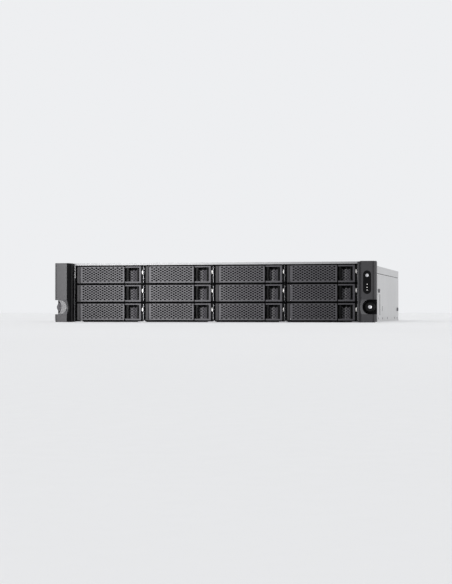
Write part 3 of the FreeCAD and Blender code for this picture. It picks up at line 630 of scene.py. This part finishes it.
def hard_drive():
    """A 3.5-inch drive: cast base, stamped lid, blank label, board and connector."""
    piece = Piece("hard_drive", CAST, ZINC, LABEL, BOARD, SCREW, BLACK)
    left, right = tray_x(1.7), tray_x(103.3)
    front, back = 38.0, 185.0
    bottom, top = HOME.z - 13.05, HOME.z + 13.05
    piece.box((left, front, bottom + 2.6), (right, back, top - 3.2))
    piece.paint = 1
    lid = rounded((left + 0.6, front + 1.2), (right - 0.6, back - 8), 6)
    piece.prism(lid, "z", top - 3.25, top - 0.9)
    piece.lathe([(0, 12.6), (40, 12.6), (42, 12.2), (42, 10.5)], "z", ((left + right) / 2, 92, HOME.z), 56)
    piece.paint = 0
    piece.box((left + 4, back - 8.5, bottom + 2.0), (right - 4, back - 0.1, top - 5))
    piece.paint = 2
    piece.box((left + 12, 137, top - 0.95), (right - 12, 171, top - 0.75))
    piece.paint = 3
    piece.box((left + 3, 96, bottom + 0.9), (right - 3, 183, bottom + 2.5))
    piece.paint = 4
    for x in (left + 4.5, right - 4.5):
        for y in (43, 108, 172):
            piece.lathe([(0, 12.75), (1.7, 12.75), (2.1, 12.4), (2.1, 11.8)], "z", (x, y, HOME.z), 18)
    piece.paint = 5
    piece.box((tray_x(18), 176, bottom + 0.9), (tray_x(60), 184.9, bottom + 6.8))
    piece.box((left + 30, 100, bottom + 0.2), (left + 48, 118, bottom + 1.0))
    return piece


def fill_bays():
    """Each tray piece's mesh is made once, for the first bay, and shared by all twelve."""
    makers = (
        (tray_carrier, "tray", "charcoal_plastic", 0.14, ("drive_tray_%d",)),
        (recess_grille, "tray", "charcoal_plastic", 0, ()),
        (spring_strip, "tray", "bright_steel", 0.1, ()),
        (tray_lamps, "tray", None, 0.15, ()),
        (hard_drive, "tray", "psu_steel", 0.35, ()),
        (tray_lever, "lever", "lever_plastic", 0.16, ("tray_lever_%d",)),
        (lever_latch, "latch", "black_plastic", 0.2, ("lever_latch_%d",)),
    )
    for make, body, slot, bevel, nodes in makers:
        piece = make()
        base = piece.name
        piece.name = base + "_1"
        first = piece.done("%s_1" % body, *[node % 1 for node in nodes], slot=slot, bevel=bevel)
        for number in BAYS[1:]:
            stand("%s_%d" % (base, number), first.data, "%s_%d" % (body, number),
                  [node % number for node in nodes], bevel, bay_centre(number) - HOME)


# ---------------------------------------------------------------- case pieces


LEFT_CORNER = -210.0   # the chassis front is lip steel only left of this; right of it, painted dark as shade
INNER_SKIN = (214.7, 215.95)


def faces_front(middle, normal):
    return normal.y < -0.9 and middle.y < FACE_Y + 0.1


def under_flange(middle, normal):
    return normal.z < -0.9 and middle.z < 77


def case_pieces():
    """Sheet-metal pieces keep the frame's shape, with softened edges, finishes and painted shade."""
    base = Piece("chassis_shell", ZINC, LIP, DARK_STEEL_AND_SHADE)
    base.from_cad("chassis_base")
    base.split_at((LEFT_CORNER, 0, 0), (1, 0, 0))
    # painted shade, dark: the front (lip steel left of the corner), the walls' inner skin, the flanges
    # under the lids and the vents' edges
    base.paint_where(2, faces_front)
    base.paint_where(1, lambda middle, normal: faces_front(middle, normal) and middle.x < LEFT_CORNER)
    base.paint_where(2, lambda middle, normal: middle.z > 60 and abs(normal.x) > 0.9
                     and INNER_SKIN[0] < abs(middle.x) < INNER_SKIN[1])
    base.paint_where(2, lambda middle, normal: normal.z > 0.9 and middle.z > 75 and middle.y < WALL_Y - 1)
    base.paint_where(2, lambda middle, normal: abs(normal.x) < 0.1 and abs(middle.x) > 215.9
                     and 200 < middle.y < 300 and 9 < middle.z < 44)
    base.done("chassis", "chassis_base", slot="zinc_steel", bevel=0)

    lid = Piece("front_lid", ZINC, LIP, DARK_STEEL_AND_SHADE)
    lid.from_cad("front_top_cover")
    lid.paint_where(1, faces_front)
    # painted shade: the flanges' undersides are painted dark
    lid.paint_where(2, under_flange)
    lid.done("chassis", "front_top_cover", slot="zinc_steel", bevel=0.3)

    back = Piece("rear_lid", ZINC, DARK_STEEL_AND_SHADE)
    back.from_cad("rear_top_cover")
    grips = Piece("grips")
    for x in (-120, 120):
        for row in range(3):
            y = 238 + 9 * row
            grips.prism(rounded((x - 30, y - 2.5), (x + 30, y + 2.5), 2.4), "z", 87.45, 89)
    back.carve(grips)
    # painted shade: the flanges' undersides are painted dark
    back.paint_where(1, under_flange)
    back.done("rear_cover", "rear_top_cover", slot="zinc_steel", bevel=0)

    cage = Piece("bay_cage", DARK_STEEL_AND_SHADE, SHADOW)
    cage.from_cad("drive_cage")
    # painted shade: the cage's front edges are near-black, darkening the gaps between trays
    cage.paint_where(1, lambda middle, normal: middle.y < FACE_Y + 2)
    cage.done("chassis", "drive_cage", slot="bright_steel", bevel=0)

    brackets = Piece("rack_flanges", DARK_STEEL_AND_SHADE)
    brackets.from_cad("rack_brackets")
    brackets.done("chassis", "rack_brackets", slot="dark_steel", bevel=0.3)


def floor_tabs():
    """Bright turned-up tabs on the front edge of the floor, one at each divider."""
    piece = Piece("floor_tabs", LIP)
    pitch = bay_centre(2).x - bay_centre(1).x
    for index in range(-2, 3):
        middle = index * pitch - (3 if index > -2 else -6)
        foot = rounded((middle - 6.5, 0.15), (middle + 6.5, 1.15), 0.4, 3)
        piece.prism(foot, "y", FACE_Y - 0.45, FACE_Y - 0.02)
        tooth = rounded((middle + 2.0, 0.15), (middle + 4.6, 2.2), 0.5, 3)
        piece.prism(tooth, "y", FACE_Y - 0.5, FACE_Y - 0.03)
    piece.done("chassis", slot="bright_steel", bevel=0.08)


# the ears: the groove beside the outer bevel, the inner strip's edge (inside it the
# left ear is painted black as shade) and the thumbscrew in its notch
GROOVE, GROOVE_WIDTH, GROOVE_DEPTH = 237.6, 0.8, 0.9
STRIP_EDGE = 221.25
KNOB_X, KNOB_Z, NOTCH_R = 232.55, 22.2, 10.5


def ears():
    """Moulded ears: a fine groove painted black inside as shade, a strip on the inner side, black painted
    shade on the left, and notch faces painted paler as a highlight.
    """
    for name, side, reach, front, strip in (("left_ear", -1, 1.5, 10.0, 2), ("right_ear", 1, 2.4, 3.6, 0)):
        ear = Piece(name, EAR, BLACK, SHADOW, SCOOP_HIGHLIGHT)
        ear.from_cad(name + "_cover")
        groove = Piece("groove")
        left, right = sorted((GROOVE * side, GROOVE * side + GROOVE_WIDTH * side))
        groove.box((left, -1, -1), (right, GROOVE_DEPTH, 89))
        ear.carve(groove)
        low, high = local_box(name + "_cover")
        inner = min(abs(low.x), abs(high.x))
        left, right = sorted((side * (inner - reach), side * (inner + 0.4)))
        # the strip is a near-black sheet of painted shade on the left, ear plastic on the right
        ear.paint = strip
        ear.box((left, front, 0.6), (right, 19.0, 87.4))
        ear.split_at((STRIP_EDGE * side, 0, 0), (1, 0, 0))
        # painted highlight: faces in the notch get the paler scoop colour
        ear.paint_where(3, lambda middle, normal: abs(middle.x) > 218.5 and 0.15 < middle.y < 4
                        and abs(middle.z - KNOB_Z) < NOTCH_R and normal.y < -0.6)
        if side < 0:
            notch_guard(ear)
            # painted shade: the left ear's inner edge is painted black
            ear.paint_where(1, lambda middle, normal: abs(middle.x) < STRIP_EDGE + 0.05)
        # painted shade: the groove's inside is painted black
        ear.paint_where(1, lambda middle, normal: GROOVE - 0.1 < abs(middle.x) < GROOVE + 0.9
                        and 0.05 < middle.y < GROOVE_DEPTH + 0.05)
        ear.done("chassis", name + "_cover", slot="charcoal_plastic", bevel=0.35, segments=3)


def notch_guard(ear):
    """A crescent over the inner half of the left ear's notch, painted paler as a highlight."""
    knob = Vector((-KNOB_X, 0, KNOB_Z))
    hub = knob - Vector((10.45, 0, 0))
    outer = [knob + around(math.radians(90 - 15 * step), NOTCH_R) for step in range(13)]
    inner = [hub + around(math.radians(12 * step - 54), 13) for step in range(10)]
    # painted highlight: the crescent is painted paler
    ear.paint = 3
    ear.prism(flat(outer + inner), "y", 1.8, 4.6)


def thumbscrews():
    """Knurled knobs on threaded studs; the right one black with a bright screw, the left one painted paler
    as light and its screw head dark as shade.
    """
    # lit and shaded copies: the left knob is painted charcoal as light, its screw head charcoal as shade
    for name, skin, middle in (("left", CHARCOAL, 0), ("right", BLACK, 1)):
        piece = Piece("%s_knob" % name, skin, SCREW)
        centre = axis_of("%s_thumbscrew" % name)
        knurl = [centre + around(angle, 7.2 if step % 2 else 6.9) for step, angle in enumerate(turns(80))]
        piece.prism(flat(knurl), "y", 8.4, 15.2)
        piece.lathe([(3.0, 7.2), (6.2, 7.05), (6.9, 7.5), (6.9, 8.6)], "y", centre, 40)
        piece.lathe([(3.0, 15.0), (6.9, 15.0), (6.6, 15.9), (3.0, 16.0)], "y", centre, 40)
        piece.paint = middle
        piece.lathe([(0, 6.45), (1.6, 6.4), (2.5, 6.15), (2.95, 6.6), (2.95, 7.6)], "y", centre, 32)
        piece.paint = 1
        profile = [(2.95, 15.5)]
        for turn in range(16):
            profile += [(2.98, 17.0 + turn), (2.62, 17.5 + turn)]
        piece.lathe(profile + [(2.2, 34.0), (0, 34.0)], "y", centre, 28)
        piece.done("%s_screw" % name, "%s_thumbscrew" % name, slot="black_knob", bevel=0.06)


def controls():
    """The gloss window with its three lamps, and the satin power key."""
    middle = axis_of("control_panel").x
    window = Piece("control_window", GLOSS, LAMP, SHADOW)
    window.from_cad("control_panel", lambda box: box[1].z - box[0].z > 10)
    window.paint = 1
    for z in (54.7, 50.2, 46.4):
        window.lathe([(0, 0.12), (0.5, 0.15), (0.7, 0.4), (0.7, 1.6)], "y", (middle, 0, z), 20)
    window.done("chassis", "control_panel", slot="gloss_black", bevel=0.3)
    centre = axis_of("power_button")
    button = Piece("power_key", SATIN, BLACK)
    profile = [(0, 0.35), (1.7, 0.3), (2.3, 0.12), (2.6, 0.2), (2.74, 0.5), (2.74, 7.0), (0, 7.0)]
    button.lathe(profile, "y", centre, 40)
    button.paint_where(1, lambda middle, normal: math.hypot(middle.x - centre.x, middle.z - centre.z) > 2.4)
    button.done("button", "power_button", slot="button_metal", bevel=0.05)


def side_fasteners():
    """Domed rail studs, wall, bracket and lid screws, and board standoffs."""
    piece = Piece("case_fasteners", SCREW, STUD)
    stud = [(3.2, 0), (3.2, 1.9), (2.8, 2.4), (1.2, 2.45), (1.0, 1.6), (0, 1.6)]
    screw = [(1.8, 0), (1.7, 0.45), (0.7, 0.5), (0.5, 0.1), (0, 0.1)]
    bracket_screw = [(2.6, 0), (2.5, 0.85), (1.0, 0.95), (0.8, 0.3), (0, 0.3)]
    lid_screw = [(2.95, 86.5), (2.95, 87.8), (1.2, 87.85), (0.9, 87.2), (0, 87.2)]
    for way in (-1, 1):
        wall = way * WALL_HALF
        piece.paint = 1
        for y, z in ((237, 49), (511, 20)):
            piece.lathe(stud, "x", (wall, y, z), 28, way)
        for y in (235, 290, 360, 469, 511):
            piece.lathe(screw, "x", (wall, y, 5), 20, way)
        piece.paint = 0
        for z in (20, 68):
            piece.lathe(bracket_screw, "x", (wall + 2 * way, 30, z), 24, way)
    for x in (-200, 0, 200):
        piece.lathe(lid_screw, "z", (x, 205, 0), 24)
    for x in (-120, 40, 200):
        for y in (275, 380, 490):
            piece.lathe([(3.0, 1.0), (3.0, 7.0)], "z", (x, y, 0), 6)
    piece.done("chassis", "fasteners", slot="screw_steel", bevel=0)


# ---------------------------------------------------------------- rear pieces

SUPPLY_WIDTH = 73.5
NETWORK_JACKS = [(-109.5 + 16.6 * index, 12.0) for index in range(4)]
SERVICE_JACK = (10.0, 12.0)
MODULE_PORTS = (-34.5, -18.5)


def dome_screw(piece, place, radius, height):
    """A low round head with a socket in its middle, facing the rear."""
    piece.lathe([(radius, 0), (radius * 0.94, height * 0.75), (radius * 0.45, height),
                 (radius * 0.35, height * 0.3), (0, height * 0.3)], "y", place, 24)


def power_supplies():
    """Two hot-plug supplies: inlet, wire fan guard, black handle and a status lamp."""
    for number in (1, 2):
        node = "psu_module_%d" % number
        low, high = local_box(node)
        left, level, face = low.x, low.z, WALL_Y + 2
        piece = Piece("power_supply_%d" % number, CAST, BLACK, SCREW, SHADOW, GREEN_LAMP, LABEL)
        piece.from_cad(node)
        handle = left + 36
        piece.paint_where(1, lambda middle, normal: middle.y > face + 0.05
                          and handle - 0.1 < middle.x < handle + 3.1)
        inlet_low, inlet_high = (left + 7, level + 9), (left + 34.4, level + 28.6)

        def in_inlet(middle, inset):
            return (inlet_low[0] + inset < middle.x < inlet_high[0] - inset
                    and inlet_low[1] + inset < middle.z < inlet_high[1] - inset)

        piece.paint_where(1, lambda middle, normal: in_inlet(middle, -0.1) and 521 < middle.y < face - 0.05)
        piece.paint_where(2, lambda middle, normal: in_inlet(middle, 3) and 522.5 < middle.y < 533)
        fan = Vector((left + 53, 0, level + 20))
        piece.paint_where(3, lambda middle, normal: normal.y > 0.9 and middle.y > face + 0.5
                          and abs(middle.x - fan.x) < 4)
        rim = Piece("rim", BLACK)
        rim_low = (inlet_low[0] - 2.4, inlet_low[1] - 2.4)
        rim_high = (inlet_high[0] + 2.4, inlet_high[1] + 2.4)
        rim.prism(rounded(rim_low, rim_high, 3), "y", face - 0.05, face + 1.0)
        hole = Piece("hole")
        hole.prism(rounded(inlet_low, inlet_high, 2), "y", face - 1, face + 2)
        rim.carve(hole)
        piece.paint = 1
        piece.absorb(rim.mesh)
        hub = [(0, 0.9), (6, 0.9), (6.5, 1.5), (5.6, 2.0), (0, 2.0)]
        piece.lathe(hub, "y", fan + Vector((0, face, 0)), 32)
        piece.paint = 2
        for radius in (8.4, 10.4, 12.4, 14.2):
            piece.hoop(fan + Vector((0, face + 1.9, 0)), radius, 0.45)
        for turn in range(4):
            angle = math.radians(45 + 90 * turn)
            middle = fan + Vector((0, face + 1.5, 0))
            piece.bar(middle + around(angle, 6), middle + around(angle, 14.6), 0.45)
        for x, z in ((3.5, 36.5), (3.5, 3.5), (45, 36.5)):
            dome_screw(piece, (left + x, face - 0.02, level + z), 1.7, 0.9)
        piece.paint = 4
        piece.lathe([(0, 0.7), (0.9, 0.6), (1.3, 0.1), (1.3, -0.4)], "y", (left + 22, face, level + 34), 20)
        piece.paint = 5
        piece.prism(rounded((left + 12, 380), (left + 62, 430), 1.5), "z", level + 39.9, level + 40.05)
        # painted shade: the side vents are flat near-black patches
        piece.paint = 3
        for side in (left - 0.02, left + SUPPLY_WIDTH + 0.02):
            for index in range(36):
                y, z = 392 + 9 * (index % 12), level + 11 + 9 * (index // 12)
                vent = rounded((y - 3, z - 1.4), (y + 3, z + 1.4), 1.3, 3)
                piece.prism(vent, "x", side - 0.03, side + 0.03)
        piece.done("psu_%d" % number, node, slot="psu_steel", bevel=0)

        tab = Piece("supply_tab_%d" % number, ORANGE)
        tab.from_cad("psu_latch_%d" % number)
        low, high = local_box("psu_latch_%d" % number)
        for row in range(3):
            y = high.y - 4.6 + 1.6 * row
            rib = rounded((y - 0.4, low.z + 1.2), (y + 0.4, high.z - 1.2), 0.35, 3)
            tab.prism(rib, "x", low.x - 0.4, low.x + 0.1)
        tab.done("psu_tab_%d" % number, "psu_latch_%d" % number, slot="latch_orange", bevel=0)


def rear_sockets():
    """Plated socket shells with near-black insides, their black plastic darkened as painted shade, gold
    contacts and small lamps.
    """
    piece = Piece("rear_sockets", BRIGHT, SHADOW, COPPER, GREEN_LAMP, AMBER_LAMP, BLACK, SCREW)
    piece.from_cad("rear_ports")
    face = WALL_Y + 0.4
    # painted shade: everything behind the socket faces is painted near-black
    piece.paint_where(1, lambda middle, normal: middle.y < face - 0.05)
    piece.paint_where(5, lambda middle, normal: middle.y > face + 4 and 38.6 < middle.x < 55.4)
    for x, z in NETWORK_JACKS + [SERVICE_JACK]:
        piece.paint = 2
        spring = [(519, z + 9.9), (530, z + 9.9), (530, z + 9.2), (520.5, z + 6.8), (519, z + 6.8)]
        for contact in range(8):
            left = x + 2.6 + 1.02 * contact
            piece.prism(spring, "x", left, left + 0.45)
        for paint, left in ((3, x + 1.0), (4, x + 9.6)):
            piece.paint = paint
            lamp = rounded((left, z + 10.3), (left + 2.4, z + 11.3), 0.3, 3)
            piece.prism(lamp, "y", face - 0.1, face + 0.1)
        piece.paint = 0
        for left in (x - 0.7, x + 13.1):
            rib = rounded((left, z + 2.5), (left + 0.6, z + 7.5), 0.25, 3)
            piece.prism(rib, "y", face - 0.1, face + 0.35)
    piece.paint = 0
    for left in MODULE_PORTS:
        right, low, high = left + 14, 11.0, 20.5
        sides = ((left - 0.8, low - 0.8, right + 0.8, low), (left - 0.8, high, right + 0.8, high + 0.8),
                 (left - 0.8, low, left, high), (right, low, right + 0.8, high))
        for x1, z1, x2, z2 in sides:
            piece.box((x1, face - 0.1, z1), (x2, face + 0.8, z2))
    # painted shade: the connector's pin holes are near-black discs
    piece.paint = 1
    for row in range(3):
        for column in range(5):
            x = 42.2 + 2.3 * column + 0.6 * (row % 2)
            piece.lathe([(0, 540.72), (0.5, 540.72), (0.5, 540.2)], "y", (x, 0, 10.9 + 2.3 * row), 10)
    piece.done("chassis", "rear_ports", slot="bright_steel", bevel=0)


def slot_blanks():
    """Perforated expansion covers, each with a screw through its tab."""
    low = local_box("slot_covers")[0]
    piece = Piece("slot_blanks", ZINC, SCREW)
    for index in range(4):
        left = 110.0 + 22.0 * index
        sheet = piece.perforated(18.4, 79.0, 1.0, 4.6, (3.2, 3.2), (2.9, 2.9, 5.5, 5.5))
        origin = Vector((left, low.y + 11.0, 4.0))
        piece.paint = 0
        piece.absorb(sheet, lambda point: origin + point)
        piece.box((left, low.y, 82.2), (left + 18.4, low.y + 11.9, 83.2))
        piece.paint = 1
        piece.lathe([(0, 84.6), (1.2, 84.6), (2.9, 84.2), (3.0, 83.1)], "z", (left + 9.2, low.y + 5, 0), 24)
    piece.done("chassis", "slot_covers", slot="bright_steel", bevel=0.1)


def rear_details():
    """Small screws, a ground stud and two blank plates on the rear wall."""
    piece = Piece("rear_wall_details", SCREW, LABEL, BRIGHT)
    for x, z in ((-133, 80), (-133, 6), (102, 80), (102, 6), (205, 80), (205, 6), (86, 40)):
        dome_screw(piece, (x, WALL_Y - 0.02, z), 2.3, 1.1)
    piece.paint = 2
    stud = [(3.6, -0.02), (3.6, 1.6), (1.9, 1.7), (1.9, 5), (1.5, 5.5), (0, 5.5)]
    piece.lathe(stud, "y", (86, WALL_Y, 16), 6)
    piece.paint = 1
    for left, right in ((-108, -58), (-34, 24)):
        piece.prism(rounded((left, 29), (right, 39), 1.0, 3), "y", WALL_Y - 0.05, WALL_Y + 0.12)
    piece.done("chassis", slot="screw_steel", bevel=0.05)


# ------------------------------------------------------------ inside the case


FAN_PITCH, FAN_LEVEL, FAN_CORNER = 118, 43, 35.5


def cooling():
    """Fan ducts with corner pads, and rotors with a label on each hub."""
    ducts = Piece("fan_ducts", BLACK, STRIP, SCREW)
    ducts.from_cad("fan_frames")
    low, high = local_box("fan_frames")
    pad = [(3.4, 0.02), (3.4, -0.5), (1.6, -0.6), (1.6, -0.1), (0, -0.1)]
    for step in (-1, 0, 1):
        for across in (-FAN_CORNER, FAN_CORNER):
            for up in (-FAN_CORNER, FAN_CORNER):
                x, z = FAN_PITCH * step + across, FAN_LEVEL + up
                ducts.paint = 2
                dome_screw(ducts, (x, high.y - 0.02, z), 2.4, 1.2)
                ducts.paint = 1
                ducts.lathe(pad, "y", (x, low.y, z), 20)
    ducts.done("chassis", "fan_frames", slot="black_plastic", bevel=0.4)
    for number in (1, 2, 3):
        node = "fan_rotor_%d" % number
        low, high = local_box(node)
        centre = ((low.x + high.x) / 2, low.y, FAN_LEVEL)
        rotor = Piece("fan_blades_%d" % number, BLACK, LABEL)
        rotor.from_cad(node)
        rotor.lathe([(14, 0.1), (13.2, -0.9), (12.2, -0.9), (12.2, 0.1)], "y", centre, 36)
        rotor.paint = 1
        rotor.lathe([(0, -0.15), (11.6, -0.15), (11.6, 0.1)], "y", centre, 36)
        rotor.done("fan_%d" % number, node, slot="black_plastic", bevel=0.25)


def boards():
    """The backplane and the main board, with chips, capacitors and sockets."""
    back = Piece("backplane", BOARD, BLACK)
    back.from_cad("backplane_board", lambda box: box[1].x - box[0].x > 100)
    back.paint = 1
    back.from_cad("backplane_board", lambda box: box[1].x - box[0].x < 100)
    back.done("chassis", "backplane_board", slot="board_green", bevel=0.15)

    board = Piece("mainboard", BOARD, BLACK, CAST, COPPER, SCREW, LABEL)
    top = 8.6
    board.from_cad("main_board", lambda box: box[1].x - box[0].x > 200)
    board.paint = 2
    board.from_cad("main_board", lambda box: 60 < box[1].x - box[0].x < 200)
    board.paint = 1
    board.from_cad("main_board", lambda box: box[1].x - box[0].x < 60 and box[0].y > 390)
    board.paint = 0
    board.from_cad("main_board", lambda box: box[1].x - box[0].x < 60 and box[0].y < 390)
    for stick in range(4):
        left = 72 + 9 * stick
        board.paint = 1
        for chip in range(8):
            y = 290 + 15.5 * chip
            for side in (left - 0.9, left + 4.9):
                board.box((side, y, top + 14), (side + 1.0, y + 10.5, top + 27))
        board.box((left - 0.6, 282, top - 0.1), (left + 5.6, 420, top + 7))
    board.paint = 1
    chips = ((-95, 300, 26, 2.2), (-100, 360, 34, 2.6), (-50, 420, 18, 1.8), (0, 440, 22, 2.0),
             (-90, 430, 14, 1.6), (60, 450, 16, 1.6))
    for x, y, size, height in chips:
        board.box((x, y, top - 0.1), (x + size, y + size, top + height))
    board.box((-122, 268, top - 0.1), (-60, 276, top + 9))
    board.box((-40, 268, top - 0.1), (10, 275, top + 9))
    for column in range(9):
        x = -24 + 10.2 * column
        board.paint = 4
        board.lathe([(3.6, -0.1), (3.6, 8.6), (3.2, 9), (0, 9)], "z", (x, 300, top), 20)
        board.paint = 1
        board.box((x - 3, 404, top - 0.1), (x + 4, 411, top + 4.5))
    board.paint = 4
    board.lathe([(10, 0.4), (10, 3.2), (9, 3.6), (0, 3.6)], "z", (40, 432, top), 32)
    board.paint = 5
    board.prism(rounded((-88, 372), (-78, 382), 1), "z", top + 2.55, top + 2.7)
    board.done("chassis", "main_board", slot="board_green", bevel=0.15)


# ------------------------------------------------------------------ the stage


def stage():
    """A pale floor that runs on to the horizon."""
    data = bpy.data.meshes.new("floor")
    reach, near = 200.0, -20
    corners = [(-reach, near, 0), (reach, near, 0), (reach, reach, 0), (-reach, reach, 0)]
    data.from_pydata(corners, [], [(0, 1, 2, 3)])
    data.materials.append(surface("pale_floor", (0.80, 0.80, 0.80), 0.7, vary=0.01, patch=1.5,
                                  grain=300, bump=0.01, specular=0.1))
    floor = bpy.data.objects.new("floor", data)
    bpy.context.scene.collection.objects.link(floor)


def soft_light(name, place, aim, size, power):
    """A rectangular lamp at a place, turned towards a point."""
    data = bpy.data.lights.new(name, "AREA")
    data.shape = "RECTANGLE"
    data.size, data.size_y = size
    data.energy = power
    lamp = bpy.data.objects.new(name, data)
    lamp.location = place
    lamp.rotation_mode = "QUATERNION"
    lamp.rotation_quaternion = (Vector(aim) - Vector(place)).to_track_quat("-Z", "Y")
    bpy.context.scene.collection.objects.link(lamp)
    return lamp


def sun_light(name, heading, strength, softness):
    """An even light over the whole stage, from a heading towards the object."""
    data = bpy.data.lights.new(name, "SUN")
    data.energy = strength
    data.angle = math.radians(softness)
    lamp = bpy.data.objects.new(name, data)
    lamp.rotation_mode = "QUATERNION"
    lamp.rotation_quaternion = Vector(heading).to_track_quat("-Z", "Y")
    bpy.context.scene.collection.objects.link(lamp)


def lights():
    """A pale room, an even light from above and a key at the left that spares the floor."""
    bpy.context.scene.view_settings.view_transform = "Standard"
    world = bpy.data.worlds.new("studio")
    world.use_nodes = True
    background = world.node_tree.nodes["Background"]
    background.inputs["Color"].default_value = (0.97, 0.98, 1.0, 1)
    background.inputs["Strength"].default_value = 0.88
    bpy.context.scene.world = world
    sun_light("even", (0.1, -0.25, -0.95), 0.5, 60)
    key = soft_light("key_left", (-0.26, -0.80, 0.05), (-0.08, -0.26, 0.044), (0.25, 0.25), 0.90)
    key.data.spread = math.radians(70)
    key.visible_camera = False
    spared = bpy.data.collections.new("spared_by_key")
    spared.objects.link(bpy.data.objects["floor"])
    spared.collection_objects[0].light_linking.link_state = "EXCLUDE"
    key.light_linking.receiver_collection = spared


def camera():
    """A long lens low at the right, turned a little towards the machine's left."""
    sensor, frame_height = 36.0, 584.0
    focal, shift = 1409.0, 30.0
    data = bpy.data.cameras.new("camera")
    data.sensor_width = sensor
    data.lens = focal * sensor / frame_height
    data.shift_x = -shift / frame_height
    data.clip_start, data.clip_end = 0.05, 60
    view = bpy.data.objects.new("camera", data)
    view.location = (0.487, -2.0 + FRONT * MM, 0.014)
    yaw, pitch = math.radians(11.85), math.radians(0.84)
    view.rotation_euler = (math.radians(90) + pitch, 0, yaw)
    bpy.context.scene.collection.objects.link(view)
    bpy.context.scene.camera = view


fill_bays()
case_pieces()
floor_tabs()
ears()
thumbscrews()
controls()
side_fasteners()
power_supplies()
rear_sockets()
slot_blanks()
rear_details()
cooling()
boards()
stage()
lights()
camera()
